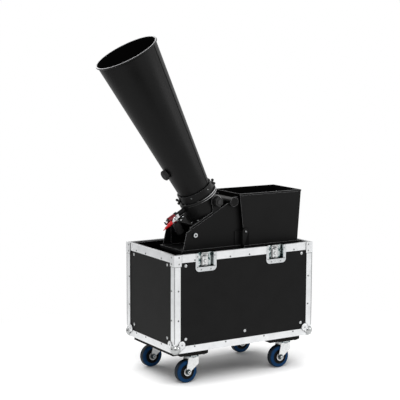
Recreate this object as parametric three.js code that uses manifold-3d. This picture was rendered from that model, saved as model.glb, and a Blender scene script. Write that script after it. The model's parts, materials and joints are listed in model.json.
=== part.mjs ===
// A confetti blower in the open lower half of its flight case, on four swivel castors.
// A leaning conical barrel stands on a round venturi chamber, which tilts between two cheek
// plates.  An open hopper beside it feeds the chamber through a chute, and a gas valve with a
// lever and a solenoid blows the paper out of the barrel.
// Millimetres, +Z up, +X to the hopper's end, +Y to the rear.  The floor is z = 0.
import * as THREE from 'three';
import { mergeVertices } from 'three/addons/utils/BufferGeometryUtils.js';
import Module from 'manifold-3d';

const wasm = await Module();
wasm.setup();

// Fits and facets
const fit = {
  gap: 0.3,          // between pieces that seat on each other
  running: 0.5,      // between a turning piece and its bearing
  overrun: 5,        // how far a cutting body runs past what it cuts
  weld: 1,           // how deep joined pieces enter each other
  rivet: 3,
};
const facets = { barrel: 48, wheel: 32, tube: 20, bolt: 10, hexagon: 6, arc: 8, ball: 16, fillet: 4 };
const quarter = Math.PI / 2;
const degree = Math.PI / 180;

// Flight case
const box = {
  length: 714,
  depth: 420,
  bottom: 146,       // underside of the box above the floor
  rim: 568,          // top of the rim above the floor
  panel: 9,          // plywood
  sheet: 1.8,        // aluminium edge profile
  angle: 30,         // leg of the edge angles
  rimLeg: 34,        // leg of the rim profile
  rimTop: 4,
  groove: 3,         // lid groove, width
  grooveDepth: 2,
  grooveInset: 6,
  brace: 34,         // leg of the top corner brace
  braceHeight: 48,
  braceSheet: 1.6,
};
const ball = { radius: 20, inset: 13, leaf: 13, leafReach: 26, leafSheet: 3.2 };
const deck = { top: 554, board: 9, batten: 20 };

// Recessed butterfly latches in the front panel
const latch = {
  width: 104,
  height: 79,
  corner: 18,
  plate: 1.6,
  panWidth: 76,
  panHeight: 60,
  panDepth: 15,
  leftInset: 156,    // latch's middle from the case's left end
  rightInset: 196,
  clawWidth: 34,
  clawHeight: 57,
  clawSheet: 2.5,
  clawTravel: 12,
  hook: 5,
  slotWidth: 13,
  spindle: 11,
  spindleDrop: 36,   // spindle below the rim
  wingLength: 44,
  wingWidth: 26,
  wingSheet: 2.4,
  grip: 5,           // folded finger edge
};

// Castors on two plywood planks
const castor = {
  plankWidth: 160,
  plankBoard: 18,
  plankInset: 14,    // plank ends behind the case's faces
  leftInset: 96,     // plank's middle from the case's left end
  rightInset: 134,
  swivelX: 22,       // swivel axis from the plank's middle
  swivelInset: 58,   // swivel axis from the case's front or rear
  plateLength: 104,
  plateWidth: 84,
  plate: 3,
  raceRadius: 27,
  race: 7,
  trail: 28,
  wheelRadius: 50,
  wheelWidth: 34,
  tyreInner: 33,
  hubRadius: 18,
  rimRecess: 4,
  hubDrop: 1.5,
  crown: 5,          // rounding of the tread at its edges
  axle: 6,
  legSheet: 4,
  legGap: 2,
  legWidth: 47,
  legFoot: 23,
  legCrown: 29,      // radius of the fork's round top
  boltHead: 9,
  boltHeight: 5,
};

// Machine: base, cheeks, brackets
const machine = {
  middleY: -22,      // machine's middle plane
  tray: 93,          // from the case's left end to the plinth
  endInset: 16,      // from the plinth to the case's right end
  plinth: 12,        // plinth height on the deck
  plinthLip: 6,      // plinth proud of the cheeks and hopper
  sheet: 3,
};
const cheek = {
  span: 176,         // over the outer faces
  footInset: 9,      // from the plinth's left end
  kinkInset: 18,     // from the cheek's foot
  kinkRise: 75,      // kink above the plinth
  flange: 20,
};
const tube = { x: -7, z: 762, drop: 4.2, radius: 18, length: 200, cap: 20, capDepth: 8 };
const bracket = {
  sheet: 5,
  inset: 38,         // its left end from the cheek's foot
  right: -27,
  above: 8,          // its edge above the cheek's slope
  ear: 26,
  neckShare: 0.8,    // neck's foot below the ear, in ear radii
  foot: 20,
};
const bolt = {
  head: 10.5,
  height: 7,
  shank: 6,
  washer: 11.5,
  washerSheet: 1.5,
  inset: 58,         // from the cheek's foot
  rise: 62,
};

// Hopper and its chute
const hopper = {
  depth: 215,
  topZ: 795,
  topLeft: 21,
  topReach: 9,       // past the plinth's right end
  footLeft: 48,
  footInset: 8,      // behind the plinth's right end
  hem: 8,            // folded rim
  hemProud: 1,
  floorLeft: 14,     // sloped floor above the plinth at its left end
  floorRight: 72,
  windowWidth: 96,
  windowHeight: 66,
};
const lug = { foot: 30, footWidth: 9, top: 76, round: 15 };
const chute = { left: -142, wall: 2, width: 108, rise: 74, mouth: 112 };

// Tilting barrel.  Its pieces are placed from the trunnion axis, up the barrel's axis.
const barrel = {
  pivotX: -84,
  pivotZ: 766,
  lean: 29.4,        // degrees from upright
  offset: 30,        // barrel's axis to the left of the trunnion
  mouth: 754,
  mouthRadius: 135,
  footRadius: 69,
  wall: 2.5,
  bead: 4,
  foot: 46,          // lower end of the barrel above the trunnion axis
  spigot: 75.2,
  spigotHeight: 28,
};
const collar = { radius: 80, bore: 76, bottom: 40.8, top: 80, flange: 88.5, flangeSheet: 3.4 };
const gasket = { sheet: 1.4 };
const chamber = {
  radius: 78,
  shift: 12,         // its axis lies this far left of the barrel's
  wall: 4,
  flange: 88.5,
  flangeSheet: 3.4,
  bottom: -30,
};
const base = { sheet: 5, left: -112, right: 54, halfWidth: 72, bore: 60, corner: 16 };
const trunnion = {
  radius: 20,
  bolt: 9,
  knob: 21,
  knobDepth: 20,
  lobes: 6,
  lobeShare: 0.16,
  hub: 11,
  washer: 1.6,
};
const wing = {
  count: 6,          // places round the collar
  angle: -16,        // degrees
  height: 18,
  stem: 4,
  stemLength: 14,
  hub: 7,
  hubLength: 9,
  lobe: 6,
  lobeSheet: 4,
};
const bumper = { radius: 23, depth: 15, round: 4, height: 205, angle: 180, stud: 5, studLength: 4 };

// Gas line: stub, nut, ball valve with its lever, solenoid and hose tail
const gas = {
  height: 22,        // above the trunnion axis
  stub: 11,
  stubEnd: 128,      // distances from the barrel's axis
  nut: 17,
  nutEnd: 142,
  body: 15,
  bodyEnd: 176,
  tail: 9,
  tailEnd: 196,
  tailNut: 13,
  tailNutLength: 8,
  bore: 5,
  valveAt: 151,      // lever's turning axis
  bonnet: 9,
  bonnetLength: 5,
  lever: 76,
  leverHub: 9.5,
  leverTip: 4,
  leverSheet: 3,
  leverDrop: 8,      // grip turned towards the solenoid, degrees
  leverNut: 7,
  leverNutHeight: 4,
  neck: 7,
  neckLength: 6,
  coil: 17,
  coilLength: 56,
  coilCap: 9,
  coilCapLength: 4,
  nozzle: 7,
  nozzleBend: 18,
  nozzleRise: 34,
};

// Finishes
const finish = {
  black: { color: 0x1b1b1c, roughness: 0.45, metalness: 0.2 },
  blackPly: { color: 0x202021, roughness: 0.6, metalness: 0 },
  aluminium: { color: 0xd4d6d8, roughness: 0.35, metalness: 0.9 },
  zinc: { color: 0xc9cccd, roughness: 0.3, metalness: 0.95 },
  chrome: { color: 0xd8d8da, roughness: 0.12, metalness: 1 },
  rubber: { color: 0x161616, roughness: 0.8, metalness: 0 },
  blueRubber: { color: 0x103a6e, roughness: 0.6, metalness: 0 },
  plastic: { color: 0x141414, roughness: 0.5, metalness: 0 },
  red: { color: 0xc01018, roughness: 0.4, metalness: 0 },
};

// Solids: joins and cuts
function toSolid(geometry) {
  const bare = geometry.index ? geometry.toNonIndexed() : geometry.clone();
  bare.deleteAttribute('normal');
  bare.deleteAttribute('uv');
  const merged = mergeVertices(bare);
  return new wasm.Manifold(new wasm.Mesh({
    numProp: 3,
    vertProperties: new Float32Array(merged.attributes.position.array),
    triVerts: new Uint32Array(merged.index.array),
  }));
}

function toGeometry(solid) {
  const mesh = solid.getMesh();
  const geometry = new THREE.BufferGeometry();
  geometry.setAttribute('position', new THREE.BufferAttribute(new Float32Array(mesh.vertProperties), 3));
  geometry.setIndex(new THREE.BufferAttribute(new Uint32Array(mesh.triVerts), 1));
  return geometry;
}

function join(...geometries) {
  return toGeometry(geometries.map(toSolid).reduce((whole, next) => whole.add(next)));
}

function cut(geometry, ...tools) {
  return toGeometry(tools.map(toSolid).reduce((whole, next) => whole.subtract(next), toSolid(geometry)));
}

function common(first, second) {
  return toGeometry(toSolid(first).intersect(toSolid(second)));
}

// Two numbers, the lower first
function inOrder(a, b) {
  return [Math.min(a, b), Math.max(a, b)];
}

// A span of a length, about a middle
function about(middle, length) {
  return [middle - length / 2, middle + length / 2];
}

// A box between two corners
function block([x0, x1], [y0, y1], [z0, z1]) {
  const geometry = new THREE.BoxGeometry(x1 - x0, y1 - y0, z1 - z0);
  return geometry.translate((x0 + x1) / 2, (y0 + y1) / 2, (z0 + z1) / 2);
}

// A cylinder from one point along x, y or z
function rod(radius, axis, from, to, [a, b] = [0, 0], sides = facets.tube) {
  const geometry = new THREE.CylinderGeometry(radius, radius, Math.abs(to - from), sides);
  const middle = (from + to) / 2;
  if (axis === 'x') return geometry.rotateZ(quarter).translate(middle, a, b);
  if (axis === 'y') return geometry.translate(a, middle, b);
  return geometry.rotateX(quarter).translate(a, b, middle);
}

// A body of revolution about z, from points of radius and height
function turned(points, sides) {
  const profile = points.map(([r, z]) => new THREE.Vector2(r, z));
  return new THREE.LatheGeometry(profile, sides).rotateX(quarter);
}

function outline(points) {
  return new THREE.Shape(points.map(([x, y]) => new THREE.Vector2(x, y)));
}

// A plate standing in the X-Z plane, between two depths
function upright(shape, yNear, yFar) {
  const settings = { depth: yFar - yNear, bevelEnabled: false, curveSegments: facets.arc };
  return new THREE.ExtrudeGeometry(shape, settings).rotateX(quarter).translate(0, yFar, 0);
}

// A plate lying in the X-Y plane, between two heights
function flat(shape, zLow, zHigh) {
  const settings = { depth: zHigh - zLow, bevelEnabled: false, curveSegments: facets.arc };
  return new THREE.ExtrudeGeometry(shape, settings).translate(0, 0, zLow);
}

// A rectangle with rounded corners; square corners where a radius is zero
function rounded([x0, x1], [y0, y1], lower, upper = lower) {
  const shape = new THREE.Shape();
  shape.moveTo(x0 + lower, y0);
  shape.lineTo(x1 - lower, y0);
  if (lower) shape.absarc(x1 - lower, y0 + lower, lower, -quarter, 0, false);
  shape.lineTo(x1, y1 - upper);
  if (upper) shape.absarc(x1 - upper, y1 - upper, upper, 0, quarter, false);
  shape.lineTo(x0 + upper, y1);
  if (upper) shape.absarc(x0 + upper, y1 - upper, upper, quarter, 2 * quarter, false);
  shape.lineTo(x0, y0 + lower);
  if (lower) shape.absarc(x0 + lower, y0 + lower, lower, 2 * quarter, 3 * quarter, false);
  return shape;
}

function piece(name, geometry, look) {
  const mesh = new THREE.Mesh(geometry, new THREE.MeshStandardMaterial(look));
  mesh.name = name;
  return mesh;
}

// Mirror a solid in the plane x = 0 or y = 0, with its faces kept outwards
function mirrored(geometry, axis) {
  const bare = geometry.index ? geometry.toNonIndexed() : geometry.clone();
  bare.scale(axis === 'x' ? -1 : 1, axis === 'y' ? -1 : 1, 1);
  const p = bare.attributes.position.array;
  for (let i = 0; i < p.length; i += 9) {
    for (let k = 0; k < 3; k += 1) {
      [p[i + 3 + k], p[i + 6 + k]] = [p[i + 6 + k], p[i + 3 + k]];
    }
  }
  return bare;
}

const whole = new THREE.Group();

// Case walls: a floor, four plywood panels and the deck that carries the machine
const halfLength = box.length / 2;
const halfDepth = box.depth / 2;
const skin = box.sheet + fit.gap;
const floorTop = box.bottom + skin + box.panel;
const panelTop = box.rim - box.rimTop - fit.gap;
const insideX = halfLength - skin - box.panel;
const insideY = halfDepth - skin - box.panel;
const latchXs = { left: latch.leftInset - halfLength, right: halfLength - latch.rightInset };
const panOuter = latch.panWidth / 2 + latch.plate;
const panFloorZ = box.rim - latch.panHeight;

function caseWalls() {
  const long = [-halfLength + skin, halfLength - skin];
  const short = [-insideY + fit.gap, insideY - fit.gap];
  const height = [floorTop + fit.gap, panelTop];
  const wall = [insideY, insideY + box.panel];
  const windows = Object.values(latchXs).map((x) => block(
    [x - panOuter - fit.gap, x + panOuter + fit.gap],
    [-wall[1] - fit.overrun, -wall[0] + fit.overrun],
    [panFloorZ - latch.plate - fit.gap, box.rim],
  ));
  const front = cut(block(long, [-wall[1], -wall[0]], height), ...windows);
  const rear = block(long, wall, height);
  const left = block([-insideX - box.panel, -insideX], short, height);
  const right = block([insideX, insideX + box.panel], short, height);
  const floorSpan = [-halfDepth + skin, halfDepth - skin];
  const floor = block(long, floorSpan, [box.bottom + skin, floorTop]);
  const rest = [-insideX + fit.gap, insideX - fit.gap];
  const across = [-insideY + fit.gap, insideY - fit.gap];
  const panGap = halfDepth - latch.panDepth - latch.plate - fit.gap;
  const notches = Object.values(latchXs).map((x) => block(
    [x - panOuter - fit.gap, x + panOuter + fit.gap],
    [-insideY - fit.overrun, -panGap],
    [box.bottom, box.rim],
  ));
  const board = cut(block(rest, across, [deck.top - deck.board, deck.top]), ...notches);
  const battenTop = deck.top - deck.board + fit.weld;
  const battens = [-1, 1].map((side) => {
    const outer = side * (insideX - fit.gap);
    const inner = side * (insideX - fit.gap - deck.batten);
    return block(inOrder(outer, inner), across, [battenTop - deck.batten, battenTop]);
  });
  whole.add(
    piece('case_panel_front', front, finish.blackPly),
    piece('case_panel_rear', rear, finish.blackPly),
    piece('case_panel_left', left, finish.blackPly),
    piece('case_panel_right', right, finish.blackPly),
    piece('case_floor', floor, finish.blackPly),
    piece('case_deck', join(board, ...battens), finish.blackPly),
  );
}

// A ring round the case, between two distances in from its faces and two heights
function ring([outer, inner], [low, high]) {
  const whole = block(
    [-halfLength + outer, halfLength - outer], [-halfDepth + outer, halfDepth - outer], [low, high],
  );
  return cut(whole, block(
    [-halfLength + inner, halfLength - inner], [-halfDepth + inner, halfDepth - inner],
    [low - fit.overrun, high + fit.overrun],
  ));
}

function caseFrames() {
  const { sheet, angle, rim, bottom, rimLeg, rimTop } = box;
  const lower = join(
    ring([0, angle], [bottom, bottom + sheet]),
    ring([0, sheet], [bottom, bottom + angle]),
  );
  const inner = skin + box.panel + fit.gap;
  const width = inner + sheet;
  const top = cut(
    join(
      ring([0, width], [rim - rimTop, rim]),
      ring([0, sheet], [rim - rimLeg, rim]),
      ring([inner, width], [rim - rimTop * 2, rim]),
    ),
    ring([box.grooveInset, box.grooveInset + box.groove], [rim - box.grooveDepth, rim + fit.overrun]),
  );
  const dish = latch.width / 2 + fit.gap;
  const front = [-halfDepth - fit.overrun, -halfDepth + width + fit.overrun];
  const heights = [rim - rimLeg - fit.overrun, rim + fit.overrun];
  const opening = block([latchXs.left - dish, latchXs.right + dish], front, heights);
  const between = block([latchXs.left + dish, latchXs.right - dish], front, heights);
  whole.add(
    piece('edge_frame_bottom', lower, finish.aluminium),
    piece('rim_frame', cut(top, opening), finish.aluminium),
    piece('rim_front_middle', common(top, between), finish.aluminium),
  );
}

// A corner of the case: the upright edge angle with its ball corner and its top brace
function caseCorners() {
  const x = -halfLength;
  const y = -halfDepth;
  const z = box.bottom;
  const { inset, leafReach, leafSheet, leaf } = ball;
  const { sheet, angle, rim, rimLeg, brace, braceHeight, braceSheet } = box;
  const low = z + angle + fit.gap;
  const high = rim - rimLeg - fit.gap;
  const upright = flat(outline([
    [x, y], [x + angle, y], [x + angle, y + sheet],
    [x + sheet, y + sheet], [x + sheet, y + angle], [x, y + angle],
  ]), low, high);
  const sphere = new THREE.SphereGeometry(ball.radius, facets.ball, facets.ball / 2)
    .translate(x + inset, y + inset, z + inset);
  const leaves = [
    rod(leaf, 'y', y - leafSheet, y + inset, [x + leafReach, z + leafReach]),
    rod(leaf, 'x', x - leafSheet, x + inset, [y + leafReach, z + leafReach]),
    rod(leaf, 'z', z - leafSheet, z + inset, [x + leafReach, y + leafReach]),
  ];
  const away = 2 * leafReach;
  const caseCorner = block(
    [x - fit.gap, x + away], [y - fit.gap, y + away], [z - fit.gap, z + away],
  );
  const ballCorner = cut(join(sphere, ...leaves), caseCorner);

  const braceTop = rim - fit.gap;
  const near = -fit.gap - braceSheet;
  const outer = block([x + near, x + brace], [y + near, y + brace], [braceTop - braceHeight, braceTop]);
  const innerCorner = block([x - fit.gap, x + brace * 2], [y - fit.gap, y + brace * 2], [0, rim * 2]);
  const cornerBrace = cut(outer, innerCorner);

  const rivets = [low + fit.rivet, high - fit.rivet * 2].flatMap((height) => [
    rod(fit.rivet, 'y', y + near, y + sheet / 2, [x + leafReach, height], facets.bolt),
    rod(fit.rivet, 'x', x + near, x + sheet / 2, [y + leafReach, height], facets.bolt),
  ]);
  const corner = join(ballCorner, upright, cornerBrace, ...rivets);
  whole.add(
    piece('case_corner_front_left', corner, finish.zinc),
    piece('case_corner_front_right', mirrored(corner, 'x'), finish.zinc),
    piece('case_corner_rear_left', mirrored(corner, 'y'), finish.zinc),
    piece('case_corner_rear_right', mirrored(mirrored(corner, 'x'), 'y'), finish.zinc),
  );
}

// A recessed latch: the dish, the claw plate that slides up into the lid and the butterfly
// whose turning drives it
function latchPieces(side, x) {
  const face = -halfDepth;
  const back = face + latch.panDepth;
  const inner = latch.panWidth / 2;
  const low = box.rim - latch.height;
  const plate = upright(
    rounded([x - latch.width / 2, x + latch.width / 2], [low, box.rim], latch.corner, 0),
    face, face + latch.plate,
  );
  const pan = block(
    [x - panOuter, x + panOuter], [face, back + latch.plate], [panFloorZ - latch.plate, box.rim],
  );
  const hollow = block(
    [x - inner, x + inner], [face - fit.overrun, back], [panFloorZ, box.rim + fit.overrun],
  );
  const dish = cut(join(plate, pan), hollow);

  const clawBack = back - fit.gap;
  const clawFront = clawBack - latch.clawSheet;
  const clawTop = box.rim - fit.gap;
  const spindleZ = box.rim - latch.spindleDrop;
  const halfSlot = latch.slotWidth / 2;
  const claw = cut(
    join(
      block(about(x, latch.clawWidth), [clawFront, clawBack], [clawTop - latch.clawHeight, clawTop]),
      block(
        about(x, latch.clawWidth), [clawFront - latch.hook, clawBack],
        [clawTop - latch.clawSheet, clawTop],
      ),
    ),
    upright(
      rounded(
        [x - halfSlot, x + halfSlot],
        [spindleZ - halfSlot - latch.clawTravel, spindleZ + halfSlot],
        latch.spindle / 2,
      ),
      clawFront - fit.overrun, clawBack + fit.overrun,
    ),
  );

  const wingBack = clawFront - fit.running;
  const wingFront = wingBack - latch.wingSheet;
  const halfLong = latch.wingLength / 2;
  const halfWide = latch.wingWidth / 2;
  const wings = upright(
    rounded([x - halfWide, x + halfWide], [spindleZ - halfLong, spindleZ + halfLong], halfWide / 2),
    wingFront, wingBack,
  );
  const grips = [-1, 1].map((end) => {
    const outer = spindleZ + end * halfLong;
    const near = outer - end * latch.wingSheet;
    return block(about(x, halfWide), [wingFront - latch.grip, wingBack], inOrder(outer, near));
  });
  const spindle = rod(latch.spindle / 2, 'y', wingFront - latch.clawSheet, clawBack, [x, spindleZ]);
  whole.add(
    piece(`latch_dish_${side}`, dish, finish.zinc),
    piece(`latch_claw_${side}`, claw, finish.zinc),
    piece(`latch_butterfly_${side}`, join(wings, ...grips, spindle), finish.zinc),
  );
}

// Castors: plywood planks, top plates with their swivel races, forks, axles and wheels
const plankXs = { left: castor.leftInset - halfLength, right: halfLength - castor.rightInset };
const swivelY = halfDepth - castor.swivelInset;
const plankTop = box.bottom - fit.gap;
const plateTop = plankTop - castor.plankBoard;
const raceLow = plateTop - castor.plate - castor.race / 2;
const forkTop = raceLow - fit.running;
const crownTop = forkTop - castor.race / 2;
const crownLow = crownTop - castor.legSheet;
const wheelHalf = castor.wheelWidth / 2;
const legInner = wheelHalf + castor.legGap;
const legOuter = legInner + castor.legSheet;

function castorPlanks() {
  for (const [side, x] of Object.entries(plankXs)) {
    const across = halfDepth - castor.plankInset;
    const half = castor.plankWidth / 2;
    const plank = block([x - half, x + half], [-across, across], [plankTop - castor.plankBoard, plankTop]);
    const plates = [-1, 1].flatMap((row) => {
      const at = [x + castor.swivelX, row * swivelY];
      const [l, w] = [castor.plateLength / 2, castor.plateWidth / 2];
      const top = plateTop + fit.weld;
      return [
        block([at[0] - l, at[0] + l], [at[1] - w, at[1] + w], [plateTop - castor.plate, top]),
        rod(castor.raceRadius, 'z', raceLow, top, at),
      ];
    });
    const clear = ball.leafReach + ball.leaf + fit.gap;
    const heights = [plankTop - castor.plankBoard - fit.overrun, plankTop + fit.overrun];
    const notches = [-1, 1].map((row) => block(
      [-halfLength - fit.overrun, -halfLength + clear],
      row < 0 ? [-halfDepth, -halfDepth + clear] : [halfDepth - clear, halfDepth],
      heights,
    ));
    const board = cut(plank, ...notches);
    whole.add(piece(`castor_plank_${side}`, join(board, ...plates), finish.blackPly));
  }
}

function forkLeg() {
  const half = castor.legWidth / 2;
  const foot = castor.legFoot / 2;
  const axleZ = castor.wheelRadius;
  const bendZ = (crownLow + axleZ) / 2;
  const shape = new THREE.Shape();
  shape.moveTo(half, crownTop);
  shape.lineTo(-half, crownTop);
  shape.lineTo(-castor.trail - foot, axleZ);
  shape.absarc(-castor.trail, axleZ, foot, Math.PI, 2 * Math.PI, false);
  shape.lineTo(half, bendZ);
  shape.closePath();
  return upright(shape, -legOuter, -legInner);
}

function castorPieces(name, x, y) {
  const place = new THREE.Group();
  place.position.set(x, y, 0);
  const leg = forkLeg();
  const half = castor.legWidth / 2;
  const crown = common(
    rod(castor.legCrown, 'z', crownLow, crownTop),
    block([-half, half], [-legOuter, legOuter], [crownLow, crownTop]),
  );
  const axleZ = castor.wheelRadius;
  const at = [-castor.trail, axleZ];
  const discIn = wheelHalf + fit.running / 2;
  const head = legOuter + castor.boltHeight;
  const fork = join(
    crown,
    block([-half, half], [-legOuter, -legInner], [crownLow, crownTop]),
    block([-half, half], [legInner, legOuter], [crownLow, crownTop]),
    leg,
    mirrored(leg, 'y'),
    rod(castor.raceRadius, 'z', crownLow, forkTop),
    rod(castor.axle, 'y', -head, head, at),
    rod(castor.boltHead, 'y', -head, -legInner, at, facets.hexagon),
    rod(castor.boltHead, 'y', legInner, head, at, facets.hexagon),
    rod(castor.hubRadius, 'y', -legInner - fit.weld, -discIn, at),
    rod(castor.hubRadius, 'y', discIn, legInner + fit.weld, at),
  );

  const bore = castor.axle + fit.running;
  const outer = castor.tyreInner - fit.gap;
  const recess = wheelHalf - castor.rimRecess;
  const core = turned([
    [bore, -wheelHalf], [castor.hubRadius, -wheelHalf], [castor.hubRadius + castor.rimRecess, -recess],
    [outer - castor.rimRecess, -recess], [outer, -wheelHalf + castor.hubDrop],
    [outer, wheelHalf - castor.hubDrop], [outer - castor.rimRecess, recess],
    [castor.hubRadius + castor.rimRecess, recess], [castor.hubRadius, wheelHalf],
    [bore, wheelHalf], [bore, -wheelHalf],
  ], facets.wheel).rotateX(quarter).translate(at[0], 0, at[1]);
  const tread = castor.wheelRadius;
  const shoulder = wheelHalf - castor.hubDrop - castor.crown;
  const edge = wheelHalf - castor.hubDrop;
  const tyre = turned([
    [castor.tyreInner, -edge], [tread - castor.crown, -edge], [tread, -shoulder],
    [tread, shoulder], [tread - castor.crown, edge], [castor.tyreInner, edge],
    [castor.tyreInner, -edge],
  ], facets.wheel).rotateX(quarter).translate(at[0], 0, at[1]);
  place.add(
    piece(`castor_fork_${name}`, fork, finish.zinc),
    piece(`wheel_core_${name}`, core, finish.plastic),
    piece(`tyre_${name}`, tyre, finish.blueRubber),
  );
  whole.add(place);
}

// The machine stands on the deck.  Its pieces are placed from its middle plane.
const body = new THREE.Group();
body.position.y = machine.middleY;
whole.add(body);
const plinthTop = deck.top + fit.gap + machine.plinth;
const seat = plinthTop + fit.gap;
const lean = barrel.lean * degree;
const plinthLeft = machine.tray - halfLength;
const plinthRight = halfLength - machine.endInset;
const footX = plinthLeft + cheek.footInset;
const kinkX = footX + cheek.kinkInset;
const boltX = footX + bolt.inset;
const bracketLeft = footX + bracket.inset;
const hopperFoot = plinthRight - hopper.footInset;
const hopperTop = plinthRight + hopper.topReach;

// The cheeks' top edge runs from the kink to just above the cross tube
const kinkZ = plinthTop + cheek.kinkRise;
const slopeTilt = (tube.z + tube.drop - kinkZ) / (tube.x - kinkX);

function slopeZ(x) {
  return kinkZ + (x - kinkX) * slopeTilt;
}

function hopperLeft(z) {
  return hopper.footLeft + (hopper.topLeft - hopper.footLeft) * (z - seat) / (hopper.topZ - seat);
}

function hopperRight(z) {
  return hopperFoot + (hopperTop - hopperFoot) * (z - seat) / (hopper.topZ - seat);
}

function plinthShape(inset) {
  const narrow = cheek.span / 2 + machine.plinthLip - inset;
  const wide = hopper.depth / 2 + machine.plinthLip - inset;
  const step = hopper.footLeft - machine.plinthLip + inset;
  const left = plinthLeft + inset;
  const right = plinthRight - inset;
  return outline([
    [left, -narrow], [step, -narrow], [step, -wide], [right, -wide],
    [right, wide], [step, wide], [step, narrow], [left, narrow],
  ]);
}

function machineBase() {
  const low = deck.top + fit.gap;
  const plinth = cut(
    flat(plinthShape(0), low, plinthTop),
    flat(plinthShape(machine.sheet), low - fit.overrun, plinthTop - machine.sheet),
  );
  body.add(piece('machine_plinth', plinth, finish.black));
}

// A cheek plate with its turned flanges, for the front
function cheekPlates() {
  const outer = -cheek.span / 2;
  const inner = outer + machine.sheet;
  const wall = (z) => hopperLeft(z) - fit.running;
  const wallLean = (wall(hopper.topZ) - wall(seat)) / (hopper.topZ - seat);
  const topX = (wall(seat) + wallLean * (slopeZ(0) - seat)) / (1 - wallLean * slopeTilt);
  const topZ = slopeZ(topX);
  const plate = upright(outline([
    [footX, seat], [wall(seat), seat], [topX, topZ],
    [kinkX, slopeZ(kinkX)],
  ]), outer, inner);
  const along = upright(outline([
    [wall(seat) - machine.sheet, seat], [wall(seat), seat],
    [topX, topZ], [topX - machine.sheet, slopeZ(topX - machine.sheet)],
  ]), outer, inner + cheek.flange);
  const foot = (left, right) => block(
    [left, right], [outer, inner + cheek.flange], [seat, seat + machine.sheet],
  );
  const [from, to] = [outer - fit.overrun, inner + fit.overrun];
  const boltHole = rod(bolt.shank + fit.gap, 'y', from, to, [boltX, seat + bolt.rise]);
  const tubeHole = rod(tube.radius + fit.gap, 'y', from, to, [tube.x, tube.z]);
  const front = cut(
    join(
      plate,
      along,
      foot(footX, bracketLeft - fit.gap),
      foot(bracket.right + fit.gap, wall(seat)),
    ),
    boltHole,
    tubeHole,
  );
  body.add(
    piece('cheek_front', front, finish.black),
    piece('cheek_rear', mirrored(front, 'y'), finish.black),
  );
}

// The bracket behind each cheek, which rises to the ear that carries the trunnion
const bracketOuter = -cheek.span / 2 + machine.sheet + fit.gap;
const bracketInner = bracketOuter + bracket.sheet;

function pivotBrackets() {
  const neck = bracket.ear * bracket.neckShare;
  const drop = Math.sqrt(bracket.ear ** 2 - neck ** 2);
  const rise = bracket.above / Math.cos(Math.atan(slopeTilt));
  const { pivotX, pivotZ } = barrel;
  const turn = Math.asin(drop / bracket.ear);
  const rightZ = slopeZ(pivotX + neck) - bracket.above;
  const shape = new THREE.Shape();
  shape.moveTo(bracketLeft, seat);
  shape.lineTo(bracket.right, seat);
  shape.lineTo(bracket.right, rightZ - bracket.ear);
  shape.lineTo(pivotX + neck, rightZ);
  shape.absarc(pivotX, pivotZ, bracket.ear, -turn, Math.PI + turn, false);
  shape.lineTo(pivotX - neck, slopeZ(pivotX - neck) + rise);
  shape.lineTo(bracketLeft, slopeZ(bracketLeft) + rise);
  shape.closePath();
  const [from, to] = [bracketOuter - fit.overrun, bracketInner + fit.overrun];
  const front = cut(
    join(
      upright(shape, bracketOuter, bracketInner),
      block(
        [bracketLeft, bracket.right], [bracketOuter, bracketInner + bracket.foot],
        [seat, seat + bracket.sheet],
      ),
      rod(trunnion.radius, 'y', bracketOuter - trunnion.washer, bracketInner - fit.weld, [pivotX, pivotZ]),
    ),
    rod(trunnion.bolt + fit.running, 'y', from, to, [pivotX, pivotZ]),
    rod(bolt.shank + fit.gap, 'y', from, to, [boltX, seat + bolt.rise]),
  );
  body.add(
    piece('pivot_bracket_front', front, finish.black),
    piece('pivot_bracket_rear', mirrored(front, 'y'), finish.black),
  );
}

function cheekFittings() {
  const outer = -cheek.span / 2;
  const at = [boltX, seat + bolt.rise];
  const washer = outer - fit.gap - bolt.washerSheet;
  const nut = bracketInner + fit.gap;
  const large = join(
    rod(bolt.head, 'y', washer - bolt.height, washer, at, facets.hexagon),
    rod(bolt.washer, 'y', washer, outer - fit.gap, at),
    rod(bolt.shank, 'y', washer - bolt.height / 2, nut + bolt.height, at),
    rod(bolt.head, 'y', nut, nut + bolt.height, at, facets.hexagon),
  );
  const half = tube.length / 2;
  const place = [tube.x, tube.z];
  const bar = rod(tube.radius, 'y', -half, half, place, facets.wheel);
  const caps = [-1, 1].map((side) => rod(
    tube.cap, 'y', side * (half - fit.weld), side * (half + tube.capDepth), place, facets.wheel,
  ));
  body.add(
    piece('cheek_bolt_front', large, finish.zinc),
    piece('cheek_bolt_rear', mirrored(large, 'y'), finish.zinc),
    piece('cross_tube', join(bar, ...caps), finish.black),
  );
}

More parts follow.
